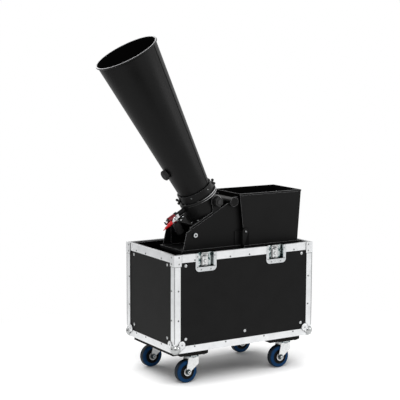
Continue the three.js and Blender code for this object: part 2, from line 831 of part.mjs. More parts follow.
function hopperPieces() {
  const { sheet } = machine;
  const half = hopper.depth / 2;
  const inside = half - sheet;
  const { topZ, hem, hemProud } = hopper;
  const over = topZ + fit.overrun;
  const under = seat - fit.overrun;
  const floorLeft = seat + hopper.floorLeft;
  const floorRight = seat + hopper.floorRight;
  const quad = (lowLeft, lowRight, highLeft, highRight, grow) => outline([
    [hopperLeft(lowLeft) - grow, lowLeft], [hopperRight(lowRight) + grow, lowRight],
    [hopperRight(highRight) + grow, highRight], [hopperLeft(highLeft) - grow, highLeft],
  ]);
  const shell = join(
    upright(quad(seat, seat, topZ, topZ, 0), -half, half),
    upright(quad(topZ - hem, topZ - hem, topZ, topZ, hemProud), -half - hemProud, half + hemProud),
  );
  const inner = upright(quad(floorLeft, floorRight, over, over, -sheet), -inside, inside);
  const below = upright(quad(under, under, floorLeft - sheet, floorRight - sheet, -sheet), -inside, inside);
  const window = block(
    [hopperLeft(floorLeft + hopper.windowHeight) - fit.overrun, hopper.footLeft + sheet + fit.overrun],
    [-hopper.windowWidth / 2, hopper.windowWidth / 2],
    [floorLeft, floorLeft + hopper.windowHeight],
  );
  const outer = chute.width / 2;
  const top = seat + chute.rise;
  const end = (z) => hopperLeft(z) - fit.gap;
  const trough = cut(
    upright(
      outline([[chute.left, seat], [end(seat), seat], [end(top), top], [chute.left, top]]), -outer, outer,
    ),
    block(
      [chute.left + chute.wall, hopper.footLeft + fit.overrun],
      [-outer + chute.wall, outer - chute.wall],
      [seat + chute.wall, top - chute.wall],
    ),
    block(
      [chute.left + chute.wall, chute.left + chute.wall + chute.mouth],
      [-outer + chute.wall, outer - chute.wall],
      [seat + chute.wall, top + fit.overrun],
    ),
  );
  body.add(
    piece('hopper_shell', cut(shell, inner, below, window), finish.black),
    piece('feed_chute', trough, finish.black),
  );
}

// Lugs that join each cheek to the hopper's face
function hopperLugs() {
  const { sheet } = machine;
  const top = seat + lug.top;
  const webRight = hopperLeft(top) - fit.gap;
  const webLeft = webRight - sheet;
  const tabBack = -hopper.depth / 2 - fit.gap;
  const tabFront = tabBack - sheet;
  const footBack = -cheek.span / 2 - fit.gap;
  const footFront = footBack - sheet;
  const tab = new THREE.Shape();
  tab.moveTo(webLeft, seat);
  tab.lineTo(webLeft + lug.footWidth, seat);
  tab.absarc(webLeft + lug.round, top - lug.round, lug.round, 0, 2 * quarter, false);
  tab.closePath();
  const front = join(
    upright(tab, tabFront, tabBack),
    block([webLeft, webRight], [tabFront, footBack], [seat, top - lug.round]),
    block([webLeft - lug.foot, webRight], [footFront, footBack], [seat, top - lug.round]),
  );
  body.add(
    piece('hopper_lug_front', front, finish.black),
    piece('hopper_lug_rear', mirrored(front, 'y'), finish.black),
  );
}

// The tilting assembly, placed from the trunnion axis with z up the barrel
const tilting = new THREE.Group();
tilting.position.set(barrel.pivotX, 0, barrel.pivotZ);
tilting.rotation.y = -lean;
body.add(tilting);

// The same, with x = 0 on the barrel's axis
const centred = new THREE.Group();
centred.position.x = -barrel.offset;
tilting.add(centred);

function coneRadius(z) {
  const share = (z - barrel.foot) / (barrel.mouth - barrel.foot);
  return barrel.footRadius + (barrel.mouthRadius - barrel.footRadius) * share;
}

function barrelPieces() {
  const { foot, mouth, wall, bead, spigot, spigotHeight } = barrel;
  const spigotTop = foot + spigotHeight;
  const beadZ = mouth - bead;
  const beadR = coneRadius(beadZ) + bead / 2;
  const rolled = Array.from({ length: facets.arc + 1 }, (_, i) => {
    const angle = -quarter * 1.5 + (i / facets.arc) * quarter * 3.3;
    return [beadR + bead * Math.cos(angle), beadZ + bead * Math.sin(angle)];
  });
  const shell = turned([
    [coneRadius(foot) - wall, foot], [spigot, foot], [spigot, spigotTop], [coneRadius(spigotTop), spigotTop],
    [coneRadius(beadZ - bead), beadZ - bead],
    ...rolled,
    [coneRadius(beadZ - bead) - wall, beadZ - bead],
    [coneRadius(foot) - wall, foot],
  ], facets.barrel);

  const height = bumper.height;
  const start = coneRadius(height + bumper.stud) + fit.gap;
  const face = start + bumper.studLength;
  const pad = turned([
    [0, start], [bumper.stud, start], [bumper.stud, face], [bumper.radius, face],
    [bumper.radius, face + bumper.depth - bumper.round],
    [bumper.radius - bumper.round, face + bumper.depth], [0, face + bumper.depth],
  ], facets.tube).rotateY(quarter).rotateZ(bumper.angle * degree).translate(0, 0, height);
  centred.add(
    piece('barrel_cone', shell, finish.black),
    piece('barrel_bumper', pad, finish.rubber),
  );
}

function collarPieces() {
  const sleeve = turned([
    [collar.bore, collar.bottom], [collar.flange, collar.bottom],
    [collar.flange, collar.bottom + collar.flangeSheet], [collar.radius, collar.bottom + collar.flangeSheet],
    [collar.radius, collar.top], [collar.bore, collar.top], [collar.bore, collar.bottom],
  ], facets.barrel);
  const screwZ = barrel.foot + barrel.spigotHeight / 2;
  const reach = collar.radius + fit.overrun;
  const holes = [0, wing.count / 2].map((place) => radial(
    rod(wing.stem + fit.gap, 'x', collar.bore - fit.overrun, reach), place, screwZ,
  ));
  const gasketTop = collar.bottom - fit.gap;
  const ring = turned([
    [collar.bore, gasketTop - gasket.sheet], [collar.flange - fit.gap, gasketTop - gasket.sheet],
    [collar.flange - fit.gap, gasketTop], [collar.bore, gasketTop],
    [collar.bore, gasketTop - gasket.sheet],
  ], facets.barrel);
  centred.add(
    piece('collar', cut(sleeve, ...holes), finish.black),
    piece('flange_gasket', ring, finish.rubber),
  );

  const start = barrel.spigot + fit.gap;
  const hub = start + wing.stemLength - wing.hubLength;
  const screw = join(
    rod(wing.stem, 'x', start, hub + wing.hubLength),
    rod(wing.hub, 'x', hub, hub + wing.hubLength),
    wingLobe(hub, 1),
    wingLobe(hub, -1),
  );
  centred.add(
    piece('wing_screw_right', radial(screw.clone(), 0, screwZ), finish.plastic),
    piece('wing_screw_left', radial(screw.clone(), wing.count / 2, screwZ), finish.plastic),
  );
}

// Turn a piece that points along x to one of the places round the collar
function radial(geometry, index, z) {
  const angle = wing.angle * degree + (index / wing.count) * 4 * quarter;
  return geometry.rotateZ(angle).translate(0, 0, z);
}

function wingLobe(hub, side) {
  const half = wing.lobeSheet / 2;
  return rod(wing.lobe, 'y', -half, half, [hub + wing.hubLength, side * (wing.height / 2)]);
}

function chamberPieces() {
  const { radius, wall, flange, flangeSheet, bottom } = chamber;
  const top = collar.bottom - fit.gap - gasket.sheet - fit.gap;
  const bore = radius - wall;
  const axis = [-chamber.shift, 0];
  const sheetLow = top - flangeSheet;
  const can = rod(radius, 'z', bottom, sheetLow + fit.weld, axis, facets.barrel);
  const rim = rod(flange, 'z', sheetLow, top, [0, 0], facets.barrel);
  const bossEnd = -bracketInner - fit.running;
  const bosses = rod(trunnion.radius, 'y', -bossEnd, bossEnd, [barrel.offset, 0]);
  const bolts = [-1, 1].map((side) => rod(
    trunnion.bolt + fit.gap, 'y', side * (bore - wall), side * (bossEnd + fit.overrun), [barrel.offset, 0],
  ));
  const inside = rod(bore, 'z', bottom - fit.overrun, sheetLow, axis, facets.barrel);
  const throat = rod(
    collar.bore, 'z', sheetLow - fit.overrun, top + fit.overrun, [0, 0], facets.barrel,
  );
  const gasHole = rod(
    gas.nozzle + fit.gap, 'x', -chamber.shift - radius - fit.overrun, 0, [0, gas.height],
  );
  const housing = cut(join(can, rim, bosses), inside, throat, gasHole, ...bolts);

  const baseTop = bottom - fit.gap;
  const plate = cut(
    flat(
      rounded([base.left, base.right], [-base.halfWidth, base.halfWidth], base.corner),
      baseTop - base.sheet, baseTop,
    ),
    rod(base.bore, 'z', baseTop - base.sheet - fit.overrun, baseTop + fit.overrun, axis, facets.wheel),
  );
  centred.add(
    piece('venturi_chamber', housing, finish.black),
    piece('chamber_base', plate, finish.black),
  );
}

// The knobs that clamp the tilt.  Their bolts run through the brackets into the chamber.
function tiltKnobs() {
  const back = bracketOuter - trunnion.washer - fit.gap;
  const count = trunnion.lobes * facets.fillet;
  const edge = Array.from({ length: count }, (_, i) => {
    const angle = (i / count) * 4 * quarter;
    const lobe = 1 - trunnion.lobeShare * (1 - Math.cos(angle * trunnion.lobes)) / 2;
    return [trunnion.knob * lobe * Math.cos(angle), trunnion.knob * lobe * Math.sin(angle)];
  });
  const inner = -(chamber.radius - chamber.wall);
  const knob = join(
    upright(outline(edge), back - trunnion.knobDepth, back),
    rod(trunnion.hub, 'y', back - trunnion.knobDepth - trunnion.washer, back),
    rod(trunnion.bolt, 'y', back - fit.gap, inner),
  );
  tilting.add(
    piece('tilt_knob_front', knob, finish.plastic),
    piece('tilt_knob_rear', mirrored(knob, 'y'), finish.plastic),
  );
}

// The gas line enters the chamber's side and ends in an upright nozzle on the barrel's axis
function gasPieces() {
  const z = gas.height;
  const along = (radius, from, to, sides) => rod(radius, 'x', -to, -from, [0, z], sides);
  const reach = gas.stub + fit.overrun;
  const chamberSkin = rod(
    chamber.radius + fit.gap, 'z', z - reach, z + reach, [-chamber.shift, 0], facets.barrel,
  );
  const chamberSide = chamber.radius + chamber.shift;
  const stub = cut(along(gas.stub, chamberSide - chamber.wall * 2, gas.stubEnd), chamberSkin);
  const bonnetEnd = gas.body + gas.bonnetLength;
  const valve = join(
    along(gas.nut, gas.stubEnd + fit.gap, gas.nutEnd, facets.hexagon),
    along(gas.body, gas.nutEnd - fit.weld, gas.bodyEnd),
    rod(gas.bonnet, 'y', -bonnetEnd, 0, [-gas.valveAt, z]),
    rod(gas.neck, 'z', z - gas.body - gas.neckLength, z, [-gas.valveAt, 0]),
  );
  const tailStart = gas.bodyEnd + fit.gap;
  const tail = cut(
    join(
      along(gas.tail, tailStart, gas.tailEnd),
      along(gas.tailNut, tailStart, tailStart + gas.tailNutLength, facets.hexagon),
    ),
    along(gas.bore, gas.tailEnd - gas.tailNutLength * 1.5, gas.tailEnd + fit.overrun),
  );
  const coilTop = z - gas.body - gas.neckLength - fit.gap;
  const coilLow = coilTop - gas.coilLength;
  const coil = join(
    rod(gas.coil, 'z', coilLow, coilTop, [-gas.valveAt, 0], facets.wheel),
    rod(
      gas.coilCap, 'z', coilLow - gas.coilCapLength, coilLow + fit.overrun,
      [-gas.valveAt, 0], facets.hexagon,
    ),
  );

  const leverBack = -bonnetEnd - fit.gap;
  const leverFront = leverBack - gas.leverSheet;
  const hand = new THREE.Shape();
  hand.absarc(0, 0, gas.leverHub, -quarter, quarter, false);
  hand.lineTo(-gas.lever + gas.leverTip, gas.leverTip);
  hand.absarc(-gas.lever + gas.leverTip, 0, gas.leverTip, quarter, 3 * quarter, false);
  hand.closePath();
  const halfGrip = gas.leverTip + fit.gap;
  const grip = rounded([-gas.lever - fit.gap, -gas.leverHub * 2], [-halfGrip, halfGrip], gas.leverTip);
  const lever = join(
    upright(hand, leverFront, leverBack),
    upright(grip, leverFront - gas.leverSheet, leverBack + gas.leverSheet),
    rod(gas.leverNut, 'y', leverFront - gas.leverNutHeight, leverBack - fit.weld, [0, 0], facets.hexagon),
  ).rotateY(-gas.leverDrop * degree).translate(-gas.valveAt, 0, z);

  const inlet = chamberSide + fit.overrun;
  const route = new THREE.CurvePath();
  const bend = gas.nozzleBend;
  const corner = new THREE.Vector3(0, 0, z);
  const before = new THREE.Vector3(-bend, 0, z);
  const after = new THREE.Vector3(0, 0, z + bend);
  route.add(new THREE.LineCurve3(new THREE.Vector3(-inlet, 0, z), before));
  route.add(new THREE.QuadraticBezierCurve3(before, corner, after));
  route.add(new THREE.LineCurve3(after, new THREE.Vector3(0, 0, z + bend + gas.nozzleRise)));
  const section = new THREE.Shape().absarc(0, 0, gas.nozzle, 0, 4 * quarter, false);
  const nozzle = new THREE.ExtrudeGeometry(section, {
    steps: facets.barrel / 2, curveSegments: facets.bolt, bevelEnabled: false, extrudePath: route,
  });
  centred.add(
    piece('gas_stub', join(stub, nozzle), finish.black),
    piece('gas_valve_body', valve, finish.chrome),
    piece('gas_hose_tail', tail, finish.black),
    piece('solenoid_coil', coil, finish.plastic),
    piece('valve_lever', lever, finish.red),
  );
}

caseWalls();
caseFrames();
caseCorners();
latchPieces('left', latchXs.left);
latchPieces('right', latchXs.right);
castorPlanks();
castorPieces('front_left', plankXs.left + castor.swivelX, -swivelY);
castorPieces('front_right', plankXs.right + castor.swivelX, -swivelY);
castorPieces('rear_left', plankXs.left + castor.swivelX, swivelY);
castorPieces('rear_right', plankXs.right + castor.swivelX, swivelY);
machineBase();
cheekPlates();
pivotBrackets();
cheekFittings();
hopperPieces();
hopperLugs();
barrelPieces();
collarPieces();
chamberPieces();
tiltKnobs();
gasPieces();

// The origin goes to the middle of the whole object's footprint on the floor
const extent = new THREE.Box3().setFromObject(whole, true);
whole.position.set(-(extent.min.x + extent.max.x) / 2, -(extent.min.y + extent.max.y) / 2, -extent.min.z);
whole.updateMatrixWorld(true);

export default whole;
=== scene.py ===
"""Looks of the confetti blower in its flight case: finishes, screws, rivets, trim, light and camera.

Metres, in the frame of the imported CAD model: +Z up, +X to the hopper's end, -Y to the latches.
"""

import json
import math

import bmesh
import bpy
from mathutils import Matrix, Vector

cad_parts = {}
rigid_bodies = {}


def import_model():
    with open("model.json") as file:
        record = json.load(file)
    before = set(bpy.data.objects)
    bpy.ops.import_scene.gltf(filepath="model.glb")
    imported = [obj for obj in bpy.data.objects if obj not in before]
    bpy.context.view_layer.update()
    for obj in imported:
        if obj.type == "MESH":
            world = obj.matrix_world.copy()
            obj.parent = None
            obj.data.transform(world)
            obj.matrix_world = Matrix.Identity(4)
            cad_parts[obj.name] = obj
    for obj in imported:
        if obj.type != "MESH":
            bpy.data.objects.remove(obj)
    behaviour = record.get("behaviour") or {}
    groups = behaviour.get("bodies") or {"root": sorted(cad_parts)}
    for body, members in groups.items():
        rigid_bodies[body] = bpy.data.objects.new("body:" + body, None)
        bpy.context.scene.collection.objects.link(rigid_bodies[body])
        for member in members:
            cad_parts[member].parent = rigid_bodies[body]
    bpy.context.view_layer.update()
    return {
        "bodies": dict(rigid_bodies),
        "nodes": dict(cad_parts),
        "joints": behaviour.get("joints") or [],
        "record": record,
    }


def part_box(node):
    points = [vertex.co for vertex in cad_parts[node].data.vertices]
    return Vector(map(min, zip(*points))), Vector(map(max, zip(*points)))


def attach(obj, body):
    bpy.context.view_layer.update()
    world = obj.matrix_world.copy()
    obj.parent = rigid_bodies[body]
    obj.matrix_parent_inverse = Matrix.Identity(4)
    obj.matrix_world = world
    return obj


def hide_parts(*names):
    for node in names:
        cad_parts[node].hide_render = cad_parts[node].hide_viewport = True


MM = 0.001
ROOT = 0.6 * MM  # how far a small head is let into the surface that it sits on
# Colour of the painted shade close to other surfaces, where pieces meet
CREVICE_SHADE = (0.02, 0.024, 0.026)
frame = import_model()
NODES = frame["nodes"]
JOINTS = {joint["name"]: joint for joint in frame["joints"]}
CASE = "case_and_stand"
BARREL = "tilting_barrel"
CORNERS = ("front_left", "front_right", "rear_left", "rear_right")

# Places that the small parts follow, from the frame
CASE_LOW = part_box("edge_frame_bottom")[0]
CASE_HIGH = Vector((*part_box("edge_frame_bottom")[1][:2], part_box("rim_frame")[1].z))
PIVOT = Vector(JOINTS["barrel_tilt"]["pos_m"])
LEAN = math.radians(JOINTS["barrel_tilt"]["range_deg"][1])

# The barrel's own frame, whose z runs up its axis from the height of the pivot, and its cone's ends
AXIS_OFFSET = 30 * MM
TO_BARREL = (
    Matrix.Translation(PIVOT)
    @ Matrix.Rotation(-LEAN, 4, "Y")
    @ Matrix.Translation((-AXIS_OFFSET, 0, 0))
)
FROM_BARREL = TO_BARREL.inverted()
FOOT, MOUTH = 46 * MM, 754 * MM
FOOT_RADIUS, MOUTH_RADIUS = 69 * MM, 135 * MM


# Materials.  Each is a Principled shader whose colour, roughness and bump come from noise.


def new_material(name):
    material = bpy.data.materials.new(name)
    material.use_nodes = True
    return material


class Nodes:
    """A short way to add nodes to one material."""

    def __init__(self, name):
        self.material = new_material(name)
        self.tree = self.material.node_tree
        self.shader = self.tree.nodes["Principled BSDF"]
        self.place = self.add("ShaderNodeTexCoord").outputs["Object"]

    def add(self, kind, **settings):
        node = self.tree.nodes.new(kind)
        for key, value in settings.items():
            setattr(node, key, value)
        return node

    def link(self, start, end):
        self.tree.links.new(start, end)

    def noise(self, scale, detail=4.0, stretch=None, roughness=0.5):
        node = self.add("ShaderNodeTexNoise")
        node.inputs["Scale"].default_value = scale
        node.inputs["Detail"].default_value = detail
        node.inputs["Roughness"].default_value = roughness
        source = self.place
        if stretch:
            mapping = self.add("ShaderNodeMapping")
            mapping.inputs["Scale"].default_value = stretch
            self.link(self.place, mapping.inputs["Vector"])
            source = mapping.outputs["Vector"]
        self.link(source, node.inputs["Vector"])
        return node.outputs["Fac"]

    def ramp(self, value, *stops):
        node = self.add("ShaderNodeValToRGB")
        elements = node.color_ramp.elements
        while len(elements) < len(stops):
            elements.new(0.5)
        for element, (position, colour) in zip(elements, stops):
            element.position = position
            element.color = (*colour, 1) if len(colour) == 3 else colour
        self.link(value, node.inputs["Fac"])
        return node.outputs["Color"]

    def span(self, value, low, high):
        """Spreads 0 to 1 over a range."""
        node = self.add("ShaderNodeMapRange")
        node.inputs["To Min"].default_value = low
        node.inputs["To Max"].default_value = high
        self.link(value, node.inputs["Value"])
        return node.outputs["Result"]

    def share(self, value, start, end):
        """Gives 0 at the start of a range and 1 at its end."""
        node = self.add("ShaderNodeMapRange")
        node.inputs["From Min"].default_value = start
        node.inputs["From Max"].default_value = end
        self.link(value, node.inputs["Value"])
        return node.outputs["Result"]

    def openness(self, reach, samples):
        """1 in the open and less close to another surface."""
        node = self.add("ShaderNodeAmbientOcclusion", samples=samples)
        node.inputs["Distance"].default_value = reach
        return node.outputs["AO"]

    def mix(self, share, first, second):
        node = self.add("ShaderNodeMix", data_type="RGBA", blend_type="MIX")
        for key, value in (("Factor", share), ("A", first), ("B", second)):
            socket = next(s for s in node.inputs if s.name == key and s.enabled)
            if isinstance(value, bpy.types.NodeSocket):
                self.link(value, socket)
            else:
                socket.default_value = value
        return next(s for s in node.outputs if s.enabled)

    def shaded_near_surfaces(self, colour):
        """Painted shade where pieces meet: the colour turns dark close to another surface."""
        open_share = self.share(self.openness(8 * MM, 8), 0.68, 0.95)
        return self.mix(open_share, (*CREVICE_SHADE, 1), colour)

    def bump(self, height, strength, distance):
        node = self.add("ShaderNodeBump")
        node.inputs["Strength"].default_value = strength
        node.inputs["Distance"].default_value = distance
        self.link(height, node.inputs["Height"])
        self.link(node.outputs["Normal"], self.shader.inputs["Normal"])

    def set(self, **values):
        for key, value in values.items():
            socket = self.shader.inputs[key.replace("_", " ")]
            if isinstance(value, bpy.types.NodeSocket):
                self.link(value, socket)
            else:
                socket.default_value = value
        return self.material


def rubbed_and_highlit_edges(n):
    """1 along sharp outer edges, where paint is rubbed through and a painted highlight stands for light
    catching the edge, and 0 elsewhere.
    """
    rounded = n.add("ShaderNodeBevel", samples=6)
    rounded.inputs["Radius"].default_value = 1.7 * MM
    plain = n.add("ShaderNodeNewGeometry")
    match = n.add("ShaderNodeVectorMath", operation="DOT_PRODUCT")
    n.link(rounded.outputs["Normal"], match.inputs[0])
    n.link(plain.outputs["Normal"], match.inputs[1])
    both = n.add("ShaderNodeMath", operation="MULTIPLY")
    n.link(n.share(match.outputs["Value"], 0.98, 0.86), both.inputs[0])
    n.link(n.share(n.openness(5 * MM, 4), 0.8, 0.96), both.inputs[1])
    return both.outputs[0]


def grey(value):
    return (value, value, value * 1.02)


def powder_coat(name, level, gloss, sheen, wear=0.0):
    """Satin black powder coat: fine orange peel, faint cloudiness, a few rubbed places and, with wear,
    lighter sharp edges that are rubbed paint and a painted highlight.
    """
    n = Nodes(name)
    clouds = n.noise(9, 5)
    colour = n.ramp(clouds, (0.3, grey(level * 0.8)), (0.7, grey(level * 1.35)))
    rubbed = n.ramp(n.noise(38, 8, roughness=0.7), (0.66, grey(0)), (0.8, grey(1)))
    n.bump(n.noise(1500, 2), 0.12, 0.4 * MM)
    paint = n.mix(rubbed, colour, (*grey(level * 1.8), 1))
    # Lighter sharp edges: rubbed paint with a painted highlight
    if wear:
        paint = n.mix(rubbed_and_highlit_edges(n), paint, (*grey(wear), 1))
    rough = n.span(clouds, gloss - 0.05, gloss + 0.09)
    return n.set(Base_Color=paint, Roughness=rough, Specular_IOR_Level=sheen)


def coated_ply():
    """Black laminated ply: a fine pebbled face with a little dust and faint rubs."""
    n = Nodes("coated_ply")
    dust = n.noise(14, 7, roughness=0.6)
    colour = n.ramp(dust, (0.3, grey(0.0034)), (0.75, grey(0.006)))
    cells = n.add("ShaderNodeTexVoronoi")
    cells.inputs["Scale"].default_value = 900
    n.link(n.place, cells.inputs["Vector"])
    n.bump(cells.outputs["Distance"], 0.16, 0.3 * MM)
    rough = n.span(dust, 0.46, 0.62)
    return n.set(Base_Color=colour, Roughness=rough, Specular_IOR_Level=0.12)


def ply_edge():
    """Ply seen at its painted edges: thin plies under black stain."""
    n = Nodes("stained_ply")
    plies = n.noise(60, 3, stretch=(0.3, 0.3, 14))
    colour = n.ramp(plies, (0.35, (0.003, 0.003, 0.003)), (0.65, (0.009, 0.008, 0.007)))
    n.bump(plies, 0.2, 0.6 * MM)
    rough = n.span(plies, 0.55, 0.75)
    return n.set(Base_Color=colour, Roughness=rough, Specular_IOR_Level=0.1)


def brushed_metal(name, colour, stretch, low, high):
    """Drawn or brushed metal: fine lines along one way, soft blotches and small scuffs."""
    n = Nodes(name)
    lines = n.noise(240, 4, stretch=stretch, roughness=0.65)
    blotch = n.noise(16, 6, roughness=0.65)
    tarnished, scuffed = (tuple(c * part for c in colour) for part in (0.86, 0.72))
    base = n.ramp(blotch, (0.32, tarnished), (0.62, colour))
    scuffs = n.ramp(n.noise(75, 9, roughness=0.8), (0.62, grey(0)), (0.7, grey(0.5)))
    n.bump(lines, 0.1, 0.3 * MM)
    # Darker close to other surfaces: painted shade
    metal = n.shaded_near_surfaces(n.mix(scuffs, base, (*scuffed, 1)))
    return n.set(Base_Color=metal, Roughness=n.span(lines, low, high), Metallic=0.92)


def plated(name, colour, low, high):
    """Zinc or chrome plate: faint cloudy grain without a direction."""
    n = Nodes(name)
    grain = n.noise(130, 6, roughness=0.7)
    base = n.ramp(grain, (0.35, tuple(c * 0.8 for c in colour)), (0.65, colour))
    n.bump(grain, 0.06, 0.2 * MM)
    # Darker close to other surfaces: painted shade
    return n.set(Base_Color=n.shaded_near_surfaces(base), Roughness=n.span(grain, low, high), Metallic=1.0)


def pan_with_painted_reflections(name):
    """The pressed inside of a latch: bright zinc with dark blue-green places between the folds, which
    are painted reflections.
    """
    n = Nodes(name)
    folds = n.noise(95, 3, roughness=0.6)
    base = n.ramp(
        folds, (0.4, (0.012, 0.05, 0.052)), (0.45, (0.12, 0.2, 0.2)), (0.5, (0.66, 0.7, 0.7)),
    )
    n.bump(folds, 0.3, 1 * MM)
    # Darker close to other surfaces: painted shade
    return n.set(Base_Color=n.shaded_near_surfaces(base), Roughness=n.span(folds, 0.2, 0.36), Metallic=1.0)


def one_sided_highlight(name, start, end):
    """A painted highlight along an edge, bright towards the hopper's side only."""
    n = Nodes(name)
    axes = n.add("ShaderNodeSeparateXYZ")
    n.link(n.place, axes.inputs[0])
    second_tone = n.share(axes.outputs["X"], start, end)
    paint = (0.012, 0.012, 0.012, 1)
    grain = n.noise(110, 6, roughness=0.7)
    bright = n.ramp(grain, (0.35, grey(0.8)), (0.65, grey(0.92)))
    n.bump(grain, 0.06, 0.2 * MM)
    return n.set(Base_Color=n.mix(second_tone, paint, bright), Roughness=n.span(grain, 0.26, 0.42))


def soft_black(name, level, low, high, specular=0.3, scale=420):
    """Rubber and moulded plastic: a dark grain with a fine bump."""
    n = Nodes(name)
    grain = n.noise(scale, 3)
    colour = n.ramp(n.noise(30, 4), (0.35, grey(level * 0.75)), (0.7, grey(level * 1.3)))
    n.bump(grain, 0.14, 0.4 * MM)
    rough = n.span(grain, low, high)
    return n.set(Base_Color=colour, Roughness=rough, Specular_IOR_Level=specular)


def enamel(name, colour, low, high):
    """Coloured enamel or dipped vinyl, a little worn."""
    n = Nodes(name)
    wear = n.noise(90, 7, roughness=0.7)
    base = n.ramp(wear, (0.3, tuple(c * 0.55 for c in colour)), (0.6, colour))
    n.bump(wear, 0.12, 0.4 * MM)
    return n.set(Base_Color=base, Roughness=n.span(wear, low, high), Specular_IOR_Level=0.4)


def tyre_rubber(name, centre):
    """Blue elastic rubber whose running face is darker."""
    n = Nodes(name)
    shifted = n.add("ShaderNodeVectorMath", operation="SUBTRACT")
    shifted.inputs[1].default_value = centre
    n.link(n.place, shifted.inputs[0])
    flat = n.add("ShaderNodeVectorMath", operation="MULTIPLY")
    flat.inputs[1].default_value = (1, 0, 1)
    n.link(shifted.outputs[0], flat.inputs[0])
    radius = n.add("ShaderNodeVectorMath", operation="LENGTH")
    n.link(flat.outputs[0], radius.inputs[0])
    tread = n.share(radius.outputs["Value"], 46.5 * MM, 49.2 * MM)
    grime = n.noise(55, 7, roughness=0.7)
    blue = n.ramp(grime, (0.3, (0.001, 0.022, 0.07)), (0.65, (0.002, 0.04, 0.12)))
    second_tone = n.ramp(grime, (0.3, (0.005, 0.009, 0.013)), (0.7, (0.014, 0.021, 0.029)))
    n.bump(n.noise(600, 3), 0.1, 0.3 * MM)
    rough = n.span(grime, 0.42, 0.6)
    return n.set(Base_Color=n.mix(tread, blue, second_tone), Roughness=rough, Specular_IOR_Level=0.12)


COAT = powder_coat("powder_coat", 0.0026, 0.4, 0.13, 0.3)
COAT_BARREL = powder_coat("powder_coat_barrel", 0.003, 0.38, 0.15)
# Painted shade: a darker copy of the coat for walls that face inwards
COAT_INSIDE_SHADED = powder_coat("powder_coat_inside_painted_shade", 0.0012, 0.7, 0.02)
# Painted shade: a darker copy of the coat for the chamber's base plate, so that its top doesn't catch
# the light
COAT_BASE_SHADED = powder_coat("powder_coat_base_painted_shade", 0.001, 0.55, 0.03, 0.1)
PLY = coated_ply()
PLY_EDGE = ply_edge()
# Painted shade: a darker copy for the inner faces and the deck of the case
PLY_INSIDE_SHADED = powder_coat("ply_inside_painted_shade", 0.0008, 0.85, 0.0)
ALU_X = brushed_metal("aluminium_along_x", (0.8, 0.81, 0.82), (0.02, 1, 1), 0.28, 0.46)
ALU_Z = brushed_metal("aluminium_along_z", (0.8, 0.81, 0.82), (1, 1, 0.02), 0.28, 0.46)
ZINC = plated("zinc", (0.68, 0.7, 0.71), 0.24, 0.42)
ZINC_PALE = plated("zinc_pale", (0.78, 0.79, 0.79), 0.3, 0.5)
# Painted shade: a dark copy of the zinc for the swivel races and for the washers of the cheek bolts and
# axles
ZINC_SHADED = plated("zinc_painted_shade", (0.1, 0.15, 0.16), 0.2, 0.36)
PAN_PAINTED_REFLECTIONS = pan_with_painted_reflections("pan_with_painted_reflections")
ZINC_DIM = plated("zinc_dim", (0.3, 0.31, 0.31), 0.3, 0.5)
CAP = soft_black("knob_cap", 0.016, 0.3, 0.45, 0.5)
# Painted highlight for the edge round each bracket's pivot ear
EAR_HIGHLIGHT = enamel("painted_edge_highlight", (0.5, 0.5, 0.51), 0.3, 0.5)
BALL = plated("ball_plate", (0.47, 0.48, 0.48), 0.07, 0.15)
CHROME = plated("chrome", (0.74, 0.74, 0.75), 0.1, 0.2)
PALE_BEAD = enamel("pale_bead", (0.55, 0.55, 0.56), 0.28, 0.42)
# Painted highlights for the collar's top edge and the flanges' edges
COLLAR_TOP_HIGHLIGHT = plated("painted_collar_highlight", (0.06, 0.06, 0.062), 0.3, 0.45)
FLANGE_HIGHLIGHT = one_sided_highlight("painted_flange_highlight", -45 * MM, 20 * MM)
RUBBER = soft_black("rubber", 0.009, 0.6, 0.8)
PLASTIC = soft_black("plastic", 0.008, 0.4, 0.55, scale=700)
CORE = soft_black("nylon", 0.0025, 0.5, 0.65, 0.1, scale=500)
RED = enamel("red_vinyl", (0.62, 0.004, 0.008), 0.28, 0.42)
RED_DEEP = enamel("red_lacquer", (0.2, 0.003, 0.008), 0.22, 0.36)
# Near-black for painted shade in recesses, holes and gaps
SHADOW = soft_black("painted_shade_black", 0.0015, 0.8, 0.9, 0.1)

FINISHES = {
    "case_panel_front": PLY,
    "case_panel_rear": PLY,
    "case_panel_left": PLY,
    "case_panel_right": PLY,
    "case_floor": PLY,
    "case_deck": PLY_INSIDE_SHADED,
    "castor_plank_left": PLY_EDGE,
    "castor_plank_right": PLY_EDGE,
    "edge_frame_bottom": ALU_X,
    "rim_frame": ALU_X,
    "rim_front_middle": ALU_X,
    "barrel_cone": COAT_BARREL,
    "collar": COAT_BARREL,
    "venturi_chamber": COAT_BARREL,
    "chamber_base": COAT_BASE_SHADED,
    "gas_valve_body": CHROME,
    "gas_hose_tail": CHROME,
    "barrel_bumper": RUBBER,
    "flange_gasket": RUBBER,
    "solenoid_coil": PLASTIC,
}
BY_START = (
    ("case_corner", ALU_Z),
    ("latch_dish", ZINC),
    ("latch", ZINC_PALE),
    ("castor_fork", ZINC_PALE),
    ("wheel_core", CORE),
    ("tilt_knob", PLASTIC),
    ("wing_screw", PLASTIC),
    ("cheek_bolt", ZINC),
    ("hopper_lug", COAT_BARREL),
)


def finish_of(name):
    if name in FINISHES:
        return FINISHES[name]
    for start, material in BY_START:
        if name.startswith(start):
            return material
    return COAT


def smooth(obj, angle=32):
    """Round faces shade smoothly, and edges sharper than the angle stay crisp."""
    if "custom_normal" in obj.data.attributes:
        obj.data.attributes.remove(obj.data.attributes["custom_normal"])
    for polygon in obj.data.polygons:
        polygon.use_smooth = True
    weld = obj.modifiers.new("weld", "WELD")
    weld.merge_threshold = 0.00001
    split = obj.modifiers.new("crisp", "EDGE_SPLIT")
    split.split_angle = math.radians(angle)


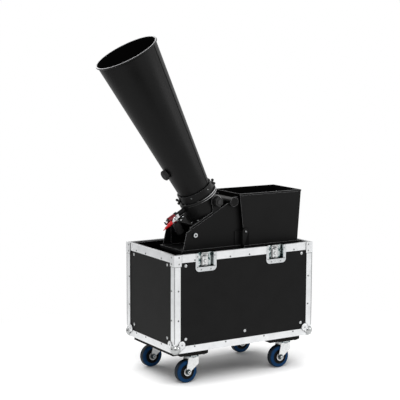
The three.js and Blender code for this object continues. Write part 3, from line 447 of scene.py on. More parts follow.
def dress_nodes():
    for name, obj in NODES.items():
        if name.startswith("tyre"):
            low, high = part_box(name)
            material = tyre_rubber(f"blue_{name}", (low + high) / 2)
        else:
            material = finish_of(name)
        obj.data.materials.clear()
        obj.data.materials.append(material)
        smooth(obj)


def coat_where(name, material, chosen):
    """Gives a second finish to the polygons of a node that a test picks."""
    obj = NODES[name]
    obj.data.materials.append(material)
    index = len(obj.data.materials) - 1
    for polygon in obj.data.polygons:
        if chosen(polygon.center, polygon.normal):
            polygon.material_index = index


def dress_insides():
    """Walls that face inwards get a darker copy of their finish, painted shade: the barrel, the hopper,
    the chute and the case.
    """

    def faces_axis(centre, normal):
        spot = FROM_BARREL @ centre
        way = FROM_BARREL.to_3x3() @ normal
        return spot.x * way.x + spot.y * way.y < -0.3 * math.hypot(spot.x, spot.y)

    for name in ("barrel_cone", "venturi_chamber"):
        coat_where(name, COAT_INSIDE_SHADED, faces_axis)
    for name in ("hopper_shell", "feed_chute"):
        low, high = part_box(name)
        middle = (low + high) / 2

        def faces_middle(centre, normal, middle=middle):
            out = centre - middle
            return (out.x * normal.x + out.y * normal.y) < -0.25 * math.hypot(out.x, out.y)

        coat_where(name, COAT_INSIDE_SHADED, faces_middle)
    # Painted shade in the gap beside the cheeks: the hopper's left wall takes the darker coat
    coat_where("hopper_shell", COAT_INSIDE_SHADED, lambda c, n: n.x < -0.7)
    for name, across, side in (
        ("case_panel_front", 1, 1), ("case_panel_rear", 1, -1),
        ("case_panel_left", 0, 1), ("case_panel_right", 0, -1),
    ):
        coat_where(name, PLY_INSIDE_SHADED, lambda c, n, a=across, s=side: n[a] * s > 0.7)


def dress_parts():
    """Second finishes on the mouth's bead, the latch pans with their painted reflections, the swivel
    races in painted shade and the ball corners.
    """
    bead, sheet, race_top, race_foot = 1 * MM, 2.2 * MM, 4 * MM, 16 * MM
    inset, ball = 13 * MM, 20.3 * MM
    # The top of the mouth's bead is a lighter grey
    coat_where("barrel_cone", PALE_BEAD, lambda c, n: (FROM_BARREL @ c).z > MOUTH - bead)
    for side in ("left", "right"):
        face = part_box(f"latch_dish_{side}")[0].y + sheet
        # The deeper faces of each latch dish get the pan with painted reflections
        coat_where(f"latch_dish_{side}", PAN_PAINTED_REFLECTIONS, lambda c, n, y=face: c.y > y)
    for corner in CORNERS:
        name = f"castor_fork_{corner}"
        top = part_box(name)[1].z
        # Painted shade on the swivel race under each castor plate
        coat_where(name, ZINC_SHADED, lambda c, n, z=top: z - race_foot < c.z < z - race_top)
        centre = Vector((
            CASE_LOW.x + inset if "left" in corner else CASE_HIGH.x - inset,
            CASE_LOW.y + inset if "front" in corner else CASE_HIGH.y - inset,
            CASE_LOW.z + inset,
        ))
        coat_where(f"case_corner_{corner}", BALL, lambda c, n, m=centre: (c - m).length < ball)


# Small pieces.  Each kind is one profile turned or drawn once and set down at every place.


def toward(place, direction, turn=0.0):
    """A frame at a place whose z points along a direction."""
    turned = Vector(direction).to_track_quat("Z", "Y").to_matrix().to_4x4()
    return Matrix.Translation(place) @ turned @ Matrix.Rotation(turn, 4, "Z")


def lifted(frames, height):
    """The same frames, moved along their own z."""
    return [frame @ Matrix.Translation((0, 0, height)) for frame in frames]


def case_uprights():
    """The four upright edges of the case: x and y of each, and its ways out along x and y."""
    for x, side_x in ((CASE_LOW.x, -1), (CASE_HIGH.x, 1)):
        for y, side_y in ((CASE_LOW.y, -1), (CASE_HIGH.y, 1)):
            yield x, y, side_x, side_y


def outer_face(name, side):
    """The y of a node's face towards the front, side -1, or the rear, side 1."""
    low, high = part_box(name)
    return low.y if side < 0 else high.y


def join_rows(shape, pairs):
    """Faces between rows of points, each row a closed loop."""
    for low, high in pairs:
        for k in range(len(low)):
            m = (k + 1) % len(low)
            shape.faces.new((low[k], low[m], high[m], high[k]))


def prism(points, near, far):
    """A flat plate between two depths in y, from its outline in x and z."""
    shape = bmesh.new()
    ends = [[shape.verts.new((x, y, z)) for x, z in points] for y in (near, far)]
    shape.faces.new(ends[0])
    shape.faces.new(ends[1])
    join_rows(shape, [ends])
    bmesh.ops.recalc_face_normals(shape, faces=shape.faces)
    return shape


def lathe(profile, sides):
    """A body turned from points of radius and height, closed at both ends on the axis."""
    shape = bmesh.new()
    rings = []
    for radius, height in profile:
        if radius == 0:
            rings.append([shape.verts.new((0, 0, height))])
            continue
        angles = [2 * math.pi * i / sides for i in range(sides)]
        rings.append([
            shape.verts.new((radius * math.cos(a), radius * math.sin(a), height)) for a in angles
        ])
    for low, high in zip(rings, rings[1:]):
        for i in range(sides):
            k = (i + 1) % sides
            corners = [low[i % len(low)], low[k % len(low)], high[k % len(high)], high[i % len(high)]]
            unique = list(dict.fromkeys(corners))
            if len(unique) > 2:
                shape.faces.new(unique)
    bmesh.ops.recalc_face_normals(shape, faces=shape.faces)
    return shape


def add_piece(name, shape, material, body, angle=40):
    """Turns a shape into a piece that rides on a body."""
    mesh = bpy.data.meshes.new(name)
    shape.to_mesh(mesh)
    shape.free()
    mesh.materials.append(material)
    obj = bpy.data.objects.new(name, mesh)
    bpy.context.scene.collection.objects.link(obj)
    smooth(obj, angle)
    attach(obj, body)
    return obj


def scatter(name, shape, places, material, body):
    """One piece made of a shape set down at each place."""
    every = bmesh.new()
    single = bpy.data.meshes.new(f"{name}_one")
    shape.to_mesh(single)
    for place in places:
        start = len(every.verts)
        every.from_mesh(single)
        every.verts.ensure_lookup_table()
        bmesh.ops.transform(every, matrix=place, verts=every.verts[start:])
    bpy.data.meshes.remove(single)
    return add_piece(name, every, material, body)


def dome(radius, height, steps=5, sides=20):
    """A low round head."""
    profile = [(0, -ROOT), (radius, -ROOT), (radius, height * 0.25)]
    for i in range(1, steps):
        angle = math.pi / 2 * i / steps
        profile.append((radius * math.cos(angle), height * (0.25 + 0.75 * math.sin(angle))))
    return lathe([*profile, (0, height)], sides)


def cross_recess(radius, depth, width):
    """Painted shade in a cross-head screw's recess: a dark cross just proud of the head."""
    shape = bmesh.new()
    for turn in (0, math.pi / 2):
        made = bmesh.ops.create_cube(shape, size=1)
        bmesh.ops.scale(shape, vec=(radius * 2, width, depth), verts=made["verts"])
        bmesh.ops.rotate(shape, matrix=Matrix.Rotation(turn, 3, "Z"), verts=made["verts"])
    return shape


def hexagon(across, height, bore=0.0):
    """A hexagon head with a turned top edge, or a nut with the end of its bolt set back."""
    radius = across / 2 / math.cos(math.pi / 6)
    top = [(radius, height * 0.8), (across / 2, height)]
    if bore:
        top += [(bore, height), (bore, height * 0.3), (0, height * 0.3)]
    else:
        top += [(0, height)]
    return lathe([(0, -ROOT), (radius, -ROOT), *top], 6)


def socket_head(radius, height):
    """A cap screw's round head with a hollow socket."""
    bore, floor_height = radius * 0.5, height * 0.35
    return lathe([
        (0, -ROOT), (radius, -ROOT), (radius, height * 0.85), (radius * 0.88, height),
        (bore, height), (bore, floor_height), (0, floor_height),
    ], 20)


# Case


def panel_screws():
    """Cross-head screws in washers near the corners of the panels."""
    inset_x, inset_y, from_foot, from_rim = 57 * MM, 64 * MM, 59 * MM, 48 * MM
    z_low, z_high = CASE_LOW.z + from_foot, CASE_HIGH.z - from_rim
    left, right = CASE_LOW.x + inset_x, CASE_HIGH.x - inset_x
    middle = (CASE_LOW.x + CASE_HIGH.x) / 2
    places = []
    for side, node in ((-1, "case_panel_front"), (1, "case_panel_rear")):
        face = outer_face(node, side)
        spots = [(left, z_low), (left, z_high), (middle, z_low), (right, z_low), (right, z_high)]
        places += [((x, face, z), (0, side, 0)) for x, z in spots]
    for side, node in ((-1, "case_panel_left"), (1, "case_panel_right")):
        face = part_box(node)[0].x if side < 0 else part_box(node)[1].x
        for y in (CASE_LOW.y + inset_y, CASE_HIGH.y - inset_y):
            places += [((face, y, z), (side, 0, 0)) for z in (z_low, z_high)]
    frames = [toward(place, way, 0.4 * i) for i, (place, way) in enumerate(places)]
    scatter("panel_screw_washers", dome(6.5 * MM, 0.9 * MM, 3), frames, ZINC, CASE)
    scatter("panel_screws", dome(4.6 * MM, 2.6 * MM), frames, ZINC_PALE, CASE)
    crown = 2.3 * MM
    cross = cross_recess(2.2 * MM, 0.9 * MM, 0.8 * MM)
    # Painted shade in each screw's cross recess
    scatter("panel_screw_recess_shade", cross, lifted(frames, crown), SHADOW, CASE)


def rivets():
    """Blind rivets along the edge profiles, each with painted shade in its mandrel hole."""
    from_foot, from_rim, inset_x, inset_y = 24 * MM, 27 * MM, 20 * MM, 24 * MM
    low, high = CASE_LOW.z + from_foot, CASE_HIGH.z - from_rim
    along_foot, along_rim = (100, 257, 457, 614), (100, 278, 377, 614)
    across, heights = (110, 247, 330), (288, 415)
    places = []
    for side in (-1, 1):
        y = CASE_LOW.y if side < 0 else CASE_HIGH.y
        places += [((CASE_LOW.x + x * MM, y, low), (0, side, 0)) for x in along_foot]
        places += [((CASE_LOW.x + x * MM, y, high), (0, side, 0)) for x in along_rim]
        x = CASE_LOW.x if side < 0 else CASE_HIGH.x
        for y in across:
            places += [((x, CASE_LOW.y + y * MM, z), (side, 0, 0)) for z in (low, high)]
    for x, y, side_x, side_y in case_uprights():
        for z in heights:
            places.append(((x - side_x * inset_x, y, z * MM), (0, side_y, 0)))
            places.append(((x, y - side_y * inset_y, z * MM), (side_x, 0, 0)))
    frames = [toward(place, way) for place, way in places]
    hole = 0.5 * MM
    head = lathe([
        (0, -ROOT), (3.4 * MM, -ROOT), (3.4 * MM, 0.2 * MM), (2.8 * MM, 1.0 * MM),
        (1.9 * MM, 1.3 * MM), (1.8 * MM, hole), (0, hole),
    ], 14)
    scatter("edge_rivets", head, frames, ZINC_DIM, CASE)
    hole_shade = dome(1.5 * MM, 0.3 * MM, 2, 8)
    # A dark dome in each rivet's hole: painted shade
    scatter("edge_rivet_hole_shade", hole_shade, lifted(frames, hole), SHADOW, CASE)


def corner_rivets():
    """Rivets in the leaves of the ball corners and in the top braces."""
    leaf, leaf_skin, brace, brace_skin = 36 * MM, 3.6 * MM, 22 * MM, 1.9 * MM
    drops = (10 * MM, 38 * MM)
    frames = []
    for x, y, side_x, side_y in case_uprights():
        spots = [(leaf, leaf_skin, CASE_LOW.z + leaf)]
        spots += [(brace, brace_skin, CASE_HIGH.z - drop) for drop in drops]
        for inset, skin, z in spots:
            frames.append(toward((x - side_x * inset, y + side_y * skin, z), (0, side_y, 0)))
            frames.append(toward((x + side_x * skin, y - side_y * inset, z), (side_x, 0, 0)))
    scatter("corner_rivets", dome(3.2 * MM, 1.3 * MM, 4, 14), frames, ZINC_DIM, CASE)


def corner_lobes():
    """The pressed round lobes of each ball corner, one on each of the three faces it wraps."""
    frames = []
    reach, radius, height = 36 * MM, 16.5 * MM, 3.7 * MM
    for x, y, side_x, side_y in case_uprights():
        in_x, in_y, up = x - side_x * reach, y - side_y * reach, CASE_LOW.z + reach
        frames.append(toward((in_x, y, up), (0, side_y, 0)))
        frames.append(toward((x, in_y, up), (side_x, 0, 0)))
        frames.append(toward((in_x, in_y, CASE_LOW.z), (0, 0, -1)))
    lobe = lathe([
        (0, -ROOT), (radius, -ROOT), (radius, 1.8 * MM),
        (15 * MM, 3.2 * MM), (12 * MM, height), (0, height),
    ], 36)
    scatter("corner_lobes", lobe, frames, ALU_Z, CASE)


def corner_balls():
    """The pressed ball of each corner, which stands a little proud of its leaves."""
    radius, inset, up, steps = 21.5 * MM, 11.5 * MM, 18 * MM, 20
    frames = [
        Matrix.Translation((x - side_x * inset, y - side_y * inset, CASE_LOW.z + up))
        for x, y, side_x, side_y in case_uprights()
    ]
    angles = [math.pi * (i / steps - 0.5) for i in range(1, steps)]
    profile = [(radius * math.cos(a), radius * math.sin(a)) for a in angles]
    ball = lathe([(0, -radius), *profile, (0, radius)], 40)
    scatter("corner_balls", ball, frames, BALL, CASE)


def corner_beads():
    """The slim dark line down each outer upright corner, where the two legs of the angle meet."""
    ball, brace, inset, radius = 44 * MM, 50 * MM, 0.7 * MM, 1.6 * MM
    low, high = CASE_LOW.z + ball, CASE_HIGH.z - brace
    frames = [
        Matrix.Translation((x - side_x * inset, y - side_y * inset, low))
        for x, y, side_x, side_y in case_uprights()
    ]
    bead = lathe([(0, 0), (radius, 0), (radius, high - low), (0, high - low)], 12)
    scatter("corner_beads", bead, frames, ZINC_DIM, CASE)


def latch_rivets():
    """Rivets round each recessed latch dish."""
    frames = []
    inset, low_pair, high_pair, foot, foot_inset = 9 * MM, 20 * MM, 14 * MM, 8 * MM, 28 * MM
    for side in ("left", "right"):
        low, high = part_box(f"latch_dish_{side}")
        for x in (low.x + inset, high.x - inset):
            for z in (low.z + low_pair, high.z - high_pair):
                frames.append(toward((x, low.y, z), (0, -1, 0)))
        for x in (low.x + foot_inset, high.x - foot_inset):
            frames.append(toward((x, low.y, low.z + foot), (0, -1, 0)))
    scatter("latch_rivets", dome(2.9 * MM, 1.1 * MM, 4, 14), frames, ZINC_DIM, CASE)


def castor_bolts():
    """Hexagon bolts that hold each castor's plate."""
    frames = []
    half_length, half_width, race = 43 * MM, 33 * MM, 3.5 * MM
    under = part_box("castor_plank_left")[0].z + race
    for corner in CORNERS:
        x, y, _ = JOINTS[f"castor_{corner}_swivel"]["pos_m"]
        for dx in (-half_length, half_length):
            for dy in (-half_width, half_width):
                frames.append(toward((x + dx, y + dy, under), (0, 0, -1)))
    scatter("castor_plate_bolts", hexagon(10 * MM, 4 * MM), frames, ZINC, CASE)


# Machine


def lug_painted_shadows():
    """Painted shadow round each hopper lug: a thin black sheet behind it, a little larger than the tab.
    """
    edge, rounding, front, back = 2.6 * MM, 17.6 * MM, 0.7 * MM, 3.2 * MM
    strap, half_tab = 30 * MM, 15 * MM
    for side, name in ((-1, "front"), (1, "rear")):
        low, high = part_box(f"hopper_lug_{name}")
        face = outer_face(f"hopper_lug_{name}", side)
        left, right = low.x + strap, high.x
        mid_x, mid_z = left + half_tab, high.z - half_tab
        points = [(left - edge, low.z), (right + edge, low.z)]
        points += [
            (mid_x + rounding * math.cos(a), mid_z + rounding * math.sin(a))
            for a in (math.radians(18 * i) for i in range(11))
        ]
        pad = prism(points, face - side * front, face - side * back)
        scatter(f"lug_pad_{name}", pad, [Matrix.Identity(4)], SHADOW, CASE)


def stand_fasteners():
    """The bolt of each hopper lug, the painted shadow round each lug, the painted shade of the cheek
    bolts' sockets and washers, and the screws of the plinth.
    """
    lug_x, lug_drop, washer = 45 * MM, 15 * MM, 9.6 * MM
    lug_frames, sockets = [], []
    for side, name in ((-1, "front"), (1, "rear")):
        low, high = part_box(f"hopper_lug_{name}")
        face = outer_face(f"hopper_lug_{name}", side)
        lug_frames.append(toward((low.x + lug_x, face, high.z - lug_drop), (0, side, 0)))
        low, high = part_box(f"cheek_bolt_{name}")
        hub = (low + high) / 2
        face = outer_face(f"cheek_bolt_{name}", side)
        sockets.append(toward((hub.x, face, hub.z), (0, side, 0)))

        def on_washer(centre, normal, hub=hub):
            return math.hypot(centre.x - hub.x, centre.z - hub.z) > washer

        # Painted shadow ring: each cheek bolt's washer is darker than its head
        coat_where(f"cheek_bolt_{name}", ZINC_SHADED, on_washer)
    lug_painted_shadows()
    scatter("lug_bolts", socket_head(3.6 * MM, 3 * MM), lug_frames, ZINC, CASE)
    # Painted shade in each cheek bolt's hexagon socket
    scatter("cheek_bolt_socket_shade", hexagon(8 * MM, 0.5 * MM), sockets, SHADOW, CASE)
    low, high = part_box("machine_plinth")
    inset, row = 4 * MM, (-60 * MM, 16 * MM)
    screws = [toward((x, y, high.z), (0, 0, 1)) for x in (low.x + inset, high.x - inset) for y in row]
    scatter("plinth_screws", dome(2.6 * MM, 1.4 * MM, 4, 12), screws, ZINC_DIM, CASE)


def ear_highlights():
    """A painted highlight along the edge round the pivot ear of each bracket."""
    ear, washer, count = 25.7 * MM, 1.6 * MM, 16
    first, last = math.radians(80), math.radians(-37)
    frames = []
    for side, name in ((-1, "front"), (1, "rear")):
        low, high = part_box(f"pivot_bracket_{name}")
        y = low.y + washer if side < 0 else high.y - washer
        spots = [
            Vector((PIVOT.x + ear * math.cos(a), y, PIVOT.z + ear * math.sin(a)))
            for a in (first + (last - first) * i / count for i in range(count + 1))
        ]
        frames += [toward(a, b - a) for a, b in zip(spots, spots[1:])]
    length, thick = ear * (first - last) / count, 0.9 * MM
    piece = lathe([(0, 0), (thick, 0), (thick, length), (0, length)], 8)
    scatter("bracket_ear_highlights", piece, frames, EAR_HIGHLIGHT, CASE)


def knob_caps():
    """The round cap let into the middle of each tilt knob."""
    for side, name in ((-1, "front"), (1, "rear")):
        face = outer_face(f"tilt_knob_{name}", side)
        place = toward((PIVOT.x, face, PIVOT.z), (0, side, 0))
        cap = lathe([
            (0, -ROOT), (8.5 * MM, -ROOT), (8.5 * MM, 0.8 * MM), (7.4 * MM, 1.2 * MM),
            (7.0 * MM, 0.3 * MM), (2.6 * MM, 0.3 * MM), (2.2 * MM, 1.4 * MM), (0, 1.4 * MM),
        ], 24)
        scatter(f"tilt_knob_cap_{name}", cap, [place], CAP, f"knob_{name}")


def on_barrel(radius, angle, height):
    """A frame on the barrel's skin, with z pointing out and x up the barrel."""
    out = Vector((math.cos(angle), math.sin(angle), 0))
    up = Vector((0, 0, 1))
    spot = out * radius + Vector((0, 0, height))
    columns = Matrix((up, out.cross(up), out)).transposed()
    return TO_BARREL @ Matrix.Translation(spot) @ columns.to_4x4()


def cone_radius(height):
    return FOOT_RADIUS + (MOUTH_RADIUS - FOOT_RADIUS) * (height - FOOT) / (MOUTH - FOOT)


def barrel_seam():
    """The lap seam up the barrel: a strip of sheet with its edges laid on the cone."""
    angle, width, thick, sunk = math.radians(-52), 15 * MM, 1.5 * MM, -0.4 * MM
    above_foot, below_mouth, steps = 30 * MM, 9 * MM, 24
    start, end = FOOT + above_foot, MOUTH - below_mouth
    section = ((-1, sunk), (-1, thick), (-0.3, thick), (0.3, thick), (1, thick), (1, sunk))
    strip = bmesh.new()
    rows = []
    for i in range(steps + 1):
        height = start + (end - start) * i / steps
        radius = cone_radius(height)
        row = []
        for share, lift in section:
            a = angle + width / 2 / radius * share
            r = radius + lift
            row.append(strip.verts.new((r * math.cos(a), r * math.sin(a), height)))
        rows.append(row)
    join_rows(strip, zip(rows, rows[1:]))
    strip.faces.new(rows[0])
    strip.faces.new(rows[-1])
    bmesh.ops.recalc_face_normals(strip, faces=strip.faces)
    bmesh.ops.transform(strip, matrix=TO_BARREL, verts=strip.verts)
    add_piece("barrel_seam", strip, COAT_BARREL, BARREL, 25)


def ring(name, radius, height, thick, material):
    """A painted highlight on a rim: a thin ring round the barrel's axis."""
    shape = bmesh.new()
    turns, sides = 48, 8
    rows = []
    for i in range(turns):
        a = 2 * math.pi * i / turns
        row = []
        for k in range(sides):
            b = 2 * math.pi * k / sides
            r = radius + thick * math.cos(b)
            row.append(shape.verts.new((r * math.cos(a), r * math.sin(a), height + thick * math.sin(b))))
        rows.append(row)
    join_rows(shape, zip(rows, rows[1:] + rows[:1]))
    bmesh.ops.recalc_face_normals(shape, faces=shape.faces)
    bmesh.ops.transform(shape, matrix=TO_BARREL, verts=shape.verts)
    add_piece(name, shape, material, BARREL, 80)


def barrel_rings():
    """Painted highlights along the edges of the collar's top and of the two flanges."""
    ring("collar_top_highlight", 79.4 * MM, 79.8 * MM, 0.8 * MM, COLLAR_TOP_HIGHLIGHT)
    ring("flange_upper_highlight", 88 * MM, 44 * MM, 1.2 * MM, FLANGE_HIGHLIGHT)
    ring("flange_lower_highlight", 88 * MM, 35.2 * MM, 1.2 * MM, FLANGE_HIGHLIGHT)


def collar_fasteners():
    """Screws through the collar, bolts round the two flanges and screws in the base plate."""
    first, count, half_step = math.radians(-16), 6, math.radians(30)
    skin, height = 80 * MM, 68 * MM
    sides = [first + 2 * math.pi * i / count for i in range(count) if i % 3]
    screws = [on_barrel(skin, a, height) for a in sides]
    scatter("collar_screws", socket_head(2.8 * MM, 2 * MM), screws, ZINC_DIM, BARREL)
    circle, flange_top, flange_foot, nuts_from = 84.2 * MM, 44.2 * MM, 35.2 * MM, -40 * MM
    upper, lower = [], []
    for i in range(8):
        a = first + half_step + 2 * math.pi * i / 8
        x, y = circle * math.cos(a), circle * math.sin(a)
        upper.append(TO_BARREL @ toward((x, y, flange_top), (0, 0, 1)))
        if x > nuts_from:
            lower.append(TO_BARREL @ toward((x, y, flange_foot), (0, 0, -1)))
    scatter("flange_bolts", hexagon(6.4 * MM, 3.6 * MM), upper, COAT, BARREL)
    scatter("flange_nuts", hexagon(6.4 * MM, 3.4 * MM), lower, COAT, BARREL)
    plate_top = -30.3 * MM
    base = [
        TO_BARREL @ toward((x * MM, side * y * MM, plate_top), (0, 0, 1))
        for x, y in ((-80, 62), (-103, 45), (44, 62)) for side in (-1, 1)
    ]
    scatter("base_plate_screws", socket_head(3.6 * MM, 3 * MM), base, ZINC, BARREL)


def valve_lever():
    """The ball valve's handle: a steel strip with a nut, in a stepped red vinyl sleeve."""
    stem, height, drop = -151 * MM, 22 * MM, math.radians(-8)
    hub, half, neck, end = 8.6 * MM, 3.7 * MM, -20 * MM, -72 * MM
    back, front = -20.3 * MM, -23.3 * MM
    to_lever = TO_BARREL @ Matrix.Translation((stem, 0, height)) @ Matrix.Rotation(drop, 4, "Y")
    outline = [
        (hub * math.cos(a), hub * math.sin(a))
        for a in (math.radians(-110 + 20 * i) for i in range(12))
    ]
    outline += [(neck, half), (end, half * 0.7), (end, -half * 0.7), (neck, -half)]
    strip = prism(outline, front, back)
    obj = scatter("valve_lever_strip", strip, [to_lever], CHROME, "lever")
    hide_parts("valve_lever")
    sleeve = lathe([
        (0, 23 * MM), (6.4 * MM, 23.4 * MM), (7.9 * MM, 25 * MM), (8.4 * MM, 34 * MM),
        (7.8 * MM, 45 * MM), (5.8 * MM, 48 * MM), (5.3 * MM, 56 * MM), (4.8 * MM, 66 * MM),
        (3.0 * MM, 68 * MM), (2.4 * MM, 74 * MM), (1.6 * MM, 78 * MM), (0, 78.6 * MM),
    ], 22)
    bmesh.ops.scale(sleeve, vec=(1, 0.72, 1), verts=sleeve.verts)
    middle = Vector((0, (back + front) / 2, 0))
    grip = to_lever @ Matrix.Translation(middle) @ Matrix.Rotation(math.radians(-90), 4, "Y")
    scatter("valve_lever_sleeve", sleeve, [grip], RED, "lever")
    nut = to_lever @ toward((0, front, 0), (0, -1, 0))
    scatter("valve_lever_nut", hexagon(11 * MM, 4 * MM), [nut], ZINC, "lever")
    nut_end = -142.5 * MM
    coat_where("gas_valve_body", RED_DEEP, lambda c, n: (FROM_BARREL @ c).x < nut_end)


def axle_nuts():
    """Each castor's axle: a hexagon nut on a washer at both sides of the fork."""
    seat = 0.6 * MM
    for corner in CORNERS:
        low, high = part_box(f"castor_fork_{corner}")
        x, _, z = JOINTS[f"wheel_{corner}_spin"]["pos_m"]
        frames = [toward((x, low.y, z), (0, -1, 0), 0.3), toward((x, high.y, z), (0, 1, 0))]
        body = f"fork_{corner}"
        washer = dome(9.5 * MM, 0.8 * MM, 3, 24)
        # Painted shade: the washers between nut and fork are dark
        scatter(f"axle_washers_{corner}", washer, frames, ZINC_SHADED, body)
        nut = hexagon(11 * MM, 3.4 * MM, 3.2 * MM)
        scatter(f"axle_nuts_{corner}", nut, lifted(frames, seat), ZINC_PALE, body)


def hopper_screws():
    """Small screws that hold the folded rim at the hopper's corners."""
    low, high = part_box("hopper_shell")
    flare, inset, drop = 6.2 * MM, 34 * MM, 28 * MM
    x, z = high.x - flare, high.z - drop
    frames = [toward((x, y, z), (-1, 0, 0)) for y in (low.y + inset, high.y - inset)]
    scatter("hopper_screws", dome(3.2 * MM, 1.6 * MM, 4, 14), frames, ZINC, CASE)


# Light, floor and camera


def lamp(name, place, target, size, power):
    data = bpy.data.lights.new(name, "AREA")
    data.shape = "RECTANGLE"
    data.size, data.size_y = size
    data.energy = power
    obj = bpy.data.objects.new(name, data)
    bpy.context.scene.collection.objects.link(obj)
    aim(obj, place, target, "-Z")


def aim(obj, place, target, axis):
    """Puts an object at a place, with one of its axes towards a target."""
    obj.location = place
    obj.rotation_mode = "QUATERNION"
    obj.rotation_quaternion = (Vector(target) - Vector(place)).to_track_quat(axis, "Y")


def stage_piece(name, shape, material):
    """Turns a shape into a piece of the stage, which isn't part of the model."""
    mesh = bpy.data.meshes.new(name)
    shape.to_mesh(mesh)
    shape.free()
    mesh.materials.append(material)
    obj = bpy.data.objects.new(name, mesh)
    bpy.context.scene.collection.objects.link(obj)
    return obj


def seen_directly(tree):
    """1 for what the camera sees, straight or in gloss and glass."""
    paths = tree.nodes.new("ShaderNodeLightPath")
    total = paths.outputs["Is Camera Ray"]
    for name in ("Is Glossy Ray", "Is Transmission Ray"):
        add = tree.nodes.new("ShaderNodeMath")
        add.operation = "MAXIMUM"
        tree.links.new(total, add.inputs[0])
        tree.links.new(paths.outputs[name], add.inputs[1])
        total = add.outputs[0]
    return total


def studio():
    world = bpy.data.worlds.new("studio")
    bpy.context.scene.world = world
    world.use_nodes = True
    tree = world.node_tree
    lit = tree.nodes["Background"]
    lit.inputs["Color"].default_value = (1, 1, 1, 1)
    lit.inputs["Strength"].default_value = 0.6
    white = tree.nodes.new("ShaderNodeBackground")
    white.inputs["Color"].default_value = (1, 1, 1, 1)
    white.inputs["Strength"].default_value = 1.0
    choose = tree.nodes.new("ShaderNodeMixShader")
    tree.links.new(seen_directly(tree), choose.inputs["Fac"])
    tree.links.new(lit.outputs[0], choose.inputs[1])
    tree.links.new(white.outputs[0], choose.inputs[2])
    tree.links.new(choose.outputs[0], tree.nodes["World Output"].inputs["Surface"])
    middle = Vector((0, 0, 0.7))
    lamp("key", (-1.6, -2.6, 3.4), middle, (1.8, 1.8), 62)
    lamp("fill", (2.8, -2.2, 1.8), middle, (1.6, 2.0), 22)
    lamp("back", (-0.6, 2.8, 2.6), middle, (2.4, 1.2), 22)
    flag("left_flag", (-2.5, 1.5, 0.35), (0, 0, 0.4), (2.3, 1.0))
    flag("front_flag", (-1.6, -2.6, 0.8), (0, 0, 0.3), (2.4, 1.1))


def flag(name, place, target, size):
    """A black card that only gloss sees, so that bright metal has something dark to mirror."""
    shape = bmesh.new()
    bmesh.ops.create_grid(shape, x_segments=1, y_segments=1, size=0.5)
    bmesh.ops.scale(shape, vec=(*size, 1), verts=shape.verts)
    material = new_material(name)
    shader = material.node_tree.nodes["Principled BSDF"]
    shader.inputs["Base Color"].default_value = (0, 0, 0, 1)
    shader.inputs["Specular IOR Level"].default_value = 0.0
    obj = stage_piece(name, shape, material)
    aim(obj, place, target, "Z")
    obj.visible_camera = False
    obj.visible_diffuse = False
    obj.visible_shadow = False
    obj.visible_transmission = False


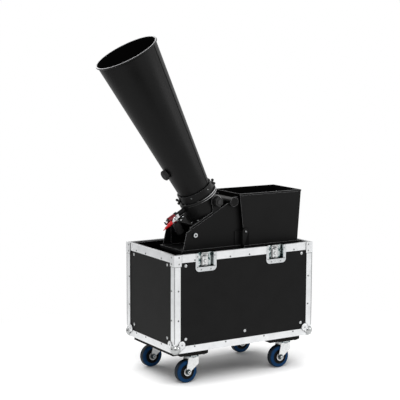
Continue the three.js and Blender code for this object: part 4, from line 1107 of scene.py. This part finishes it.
def floor():
    """A white floor that fades into the background. Its glow for the camera is lowest over the case's
    footprint, so the soft shadow under the case is partly painted.
    """
    material = new_material("floor")
    tree = material.node_tree
    shader = tree.nodes["Principled BSDF"]
    shader.inputs["Base Color"].default_value = (0.9, 0.9, 0.9, 1)
    shader.inputs["Roughness"].default_value = 0.9
    shader.inputs["Specular IOR Level"].default_value = 0.0
    shader.inputs["Emission Color"].default_value = (1, 1, 1, 1)
    seen = seen_directly(tree)

    def chain(operation, *values):
        node = tree.nodes.new("ShaderNodeVectorMath")
        node.operation = operation
        for socket, value in zip(node.inputs, values):
            if isinstance(value, bpy.types.NodeSocket):
                tree.links.new(value, socket)
            else:
                socket.default_value = value
        return node

    def rise(value, start, end, top):
        node = tree.nodes.new("ShaderNodeMapRange")
        node.interpolation_type = "SMOOTHSTEP"
        for key, number in (("From Min", start), ("From Max", end), ("To Max", top)):
            node.inputs[key].default_value = number
        tree.links.new(value, node.inputs["Value"])
        times = tree.nodes.new("ShaderNodeMath")
        times.operation = "MULTIPLY"
        tree.links.new(node.outputs["Result"], times.inputs[0])
        tree.links.new(seen, times.inputs[1])
        return times.outputs[0]

    middle = (CASE_LOW + CASE_HIGH) / 2
    inset, edge = Vector((100, 95, 0)) * MM, 170 * MM
    half = (CASE_HIGH - CASE_LOW) / 2 - inset
    place = tree.nodes.new("ShaderNodeTexCoord").outputs["Object"]
    from_case = chain("SUBTRACT", place, (middle.x, middle.y, 0)).outputs[0]
    past = chain("SUBTRACT", chain("ABSOLUTE", from_case).outputs[0], (half.x, half.y, 1)).outputs[0]
    away = chain("LENGTH", chain("MAXIMUM", past, (0, 0, 0)).outputs[0]).outputs["Value"]
    # Painted shadow: the floor glows for the camera away from the case's footprint, and not over it
    tree.links.new(rise(away, 0.0, edge, 0.44), shader.inputs["Emission Strength"])
    white = tree.nodes.new("ShaderNodeEmission")
    fade = tree.nodes.new("ShaderNodeMixShader")
    fade_start, fade_end = 0.3, 1.2
    tree.links.new(rise(away, fade_start, fade_end, 1.0), fade.inputs["Fac"])
    tree.links.new(shader.outputs[0], fade.inputs[1])
    tree.links.new(white.outputs[0], fade.inputs[2])
    tree.links.new(fade.outputs[0], tree.nodes["Material Output"].inputs["Surface"])
    under_tyres = 0.5 * MM
    shape = bmesh.new()
    bmesh.ops.create_circle(shape, cap_ends=True, segments=96, radius=9)
    stage_piece("floor", shape, material).location.z = -under_tyres


def camera():
    """The photograph's camera, solved from the case's corners and set from its lower front corner."""
    yaw, pitch, roll = math.radians(31.687), math.radians(7.562), math.radians(0.19)
    image, focal, sensor = 400, 1207.58, 36
    forward = Vector((
        math.sin(yaw) * math.cos(pitch), math.cos(yaw) * math.cos(pitch), -math.sin(pitch),
    ))
    right = forward.cross(Vector((0, 0, 1))).normalized()
    up = right.cross(forward)
    data = bpy.data.cameras.new("camera")
    data.sensor_width = sensor
    data.lens = sensor * focal / image
    data.clip_end = 100
    obj = bpy.data.objects.new("camera", data)
    from_corner = Vector((-2509.7, -4266.5, 1460.3)) * MM
    place = Vector((CASE_LOW.x, CASE_LOW.y, 0)) + from_corner
    tilt = Matrix.Rotation(roll, 3, -forward)
    axes = Matrix((right, up, -forward)).transposed()
    obj.matrix_world = Matrix.Translation(place) @ (tilt @ axes).to_4x4()
    bpy.context.scene.collection.objects.link(obj)
    bpy.context.scene.camera = obj


dress_nodes()
dress_insides()
dress_parts()
panel_screws()
rivets()
corner_lobes()
corner_balls()
corner_beads()
corner_rivets()
latch_rivets()
castor_bolts()
stand_fasteners()
ear_highlights()
knob_caps()
barrel_seam()
barrel_rings()
collar_fasteners()
valve_lever()
axle_nuts()
hopper_screws()
studio()
floor()
camera()
bpy.context.scene.view_settings.view_transform = "Standard"
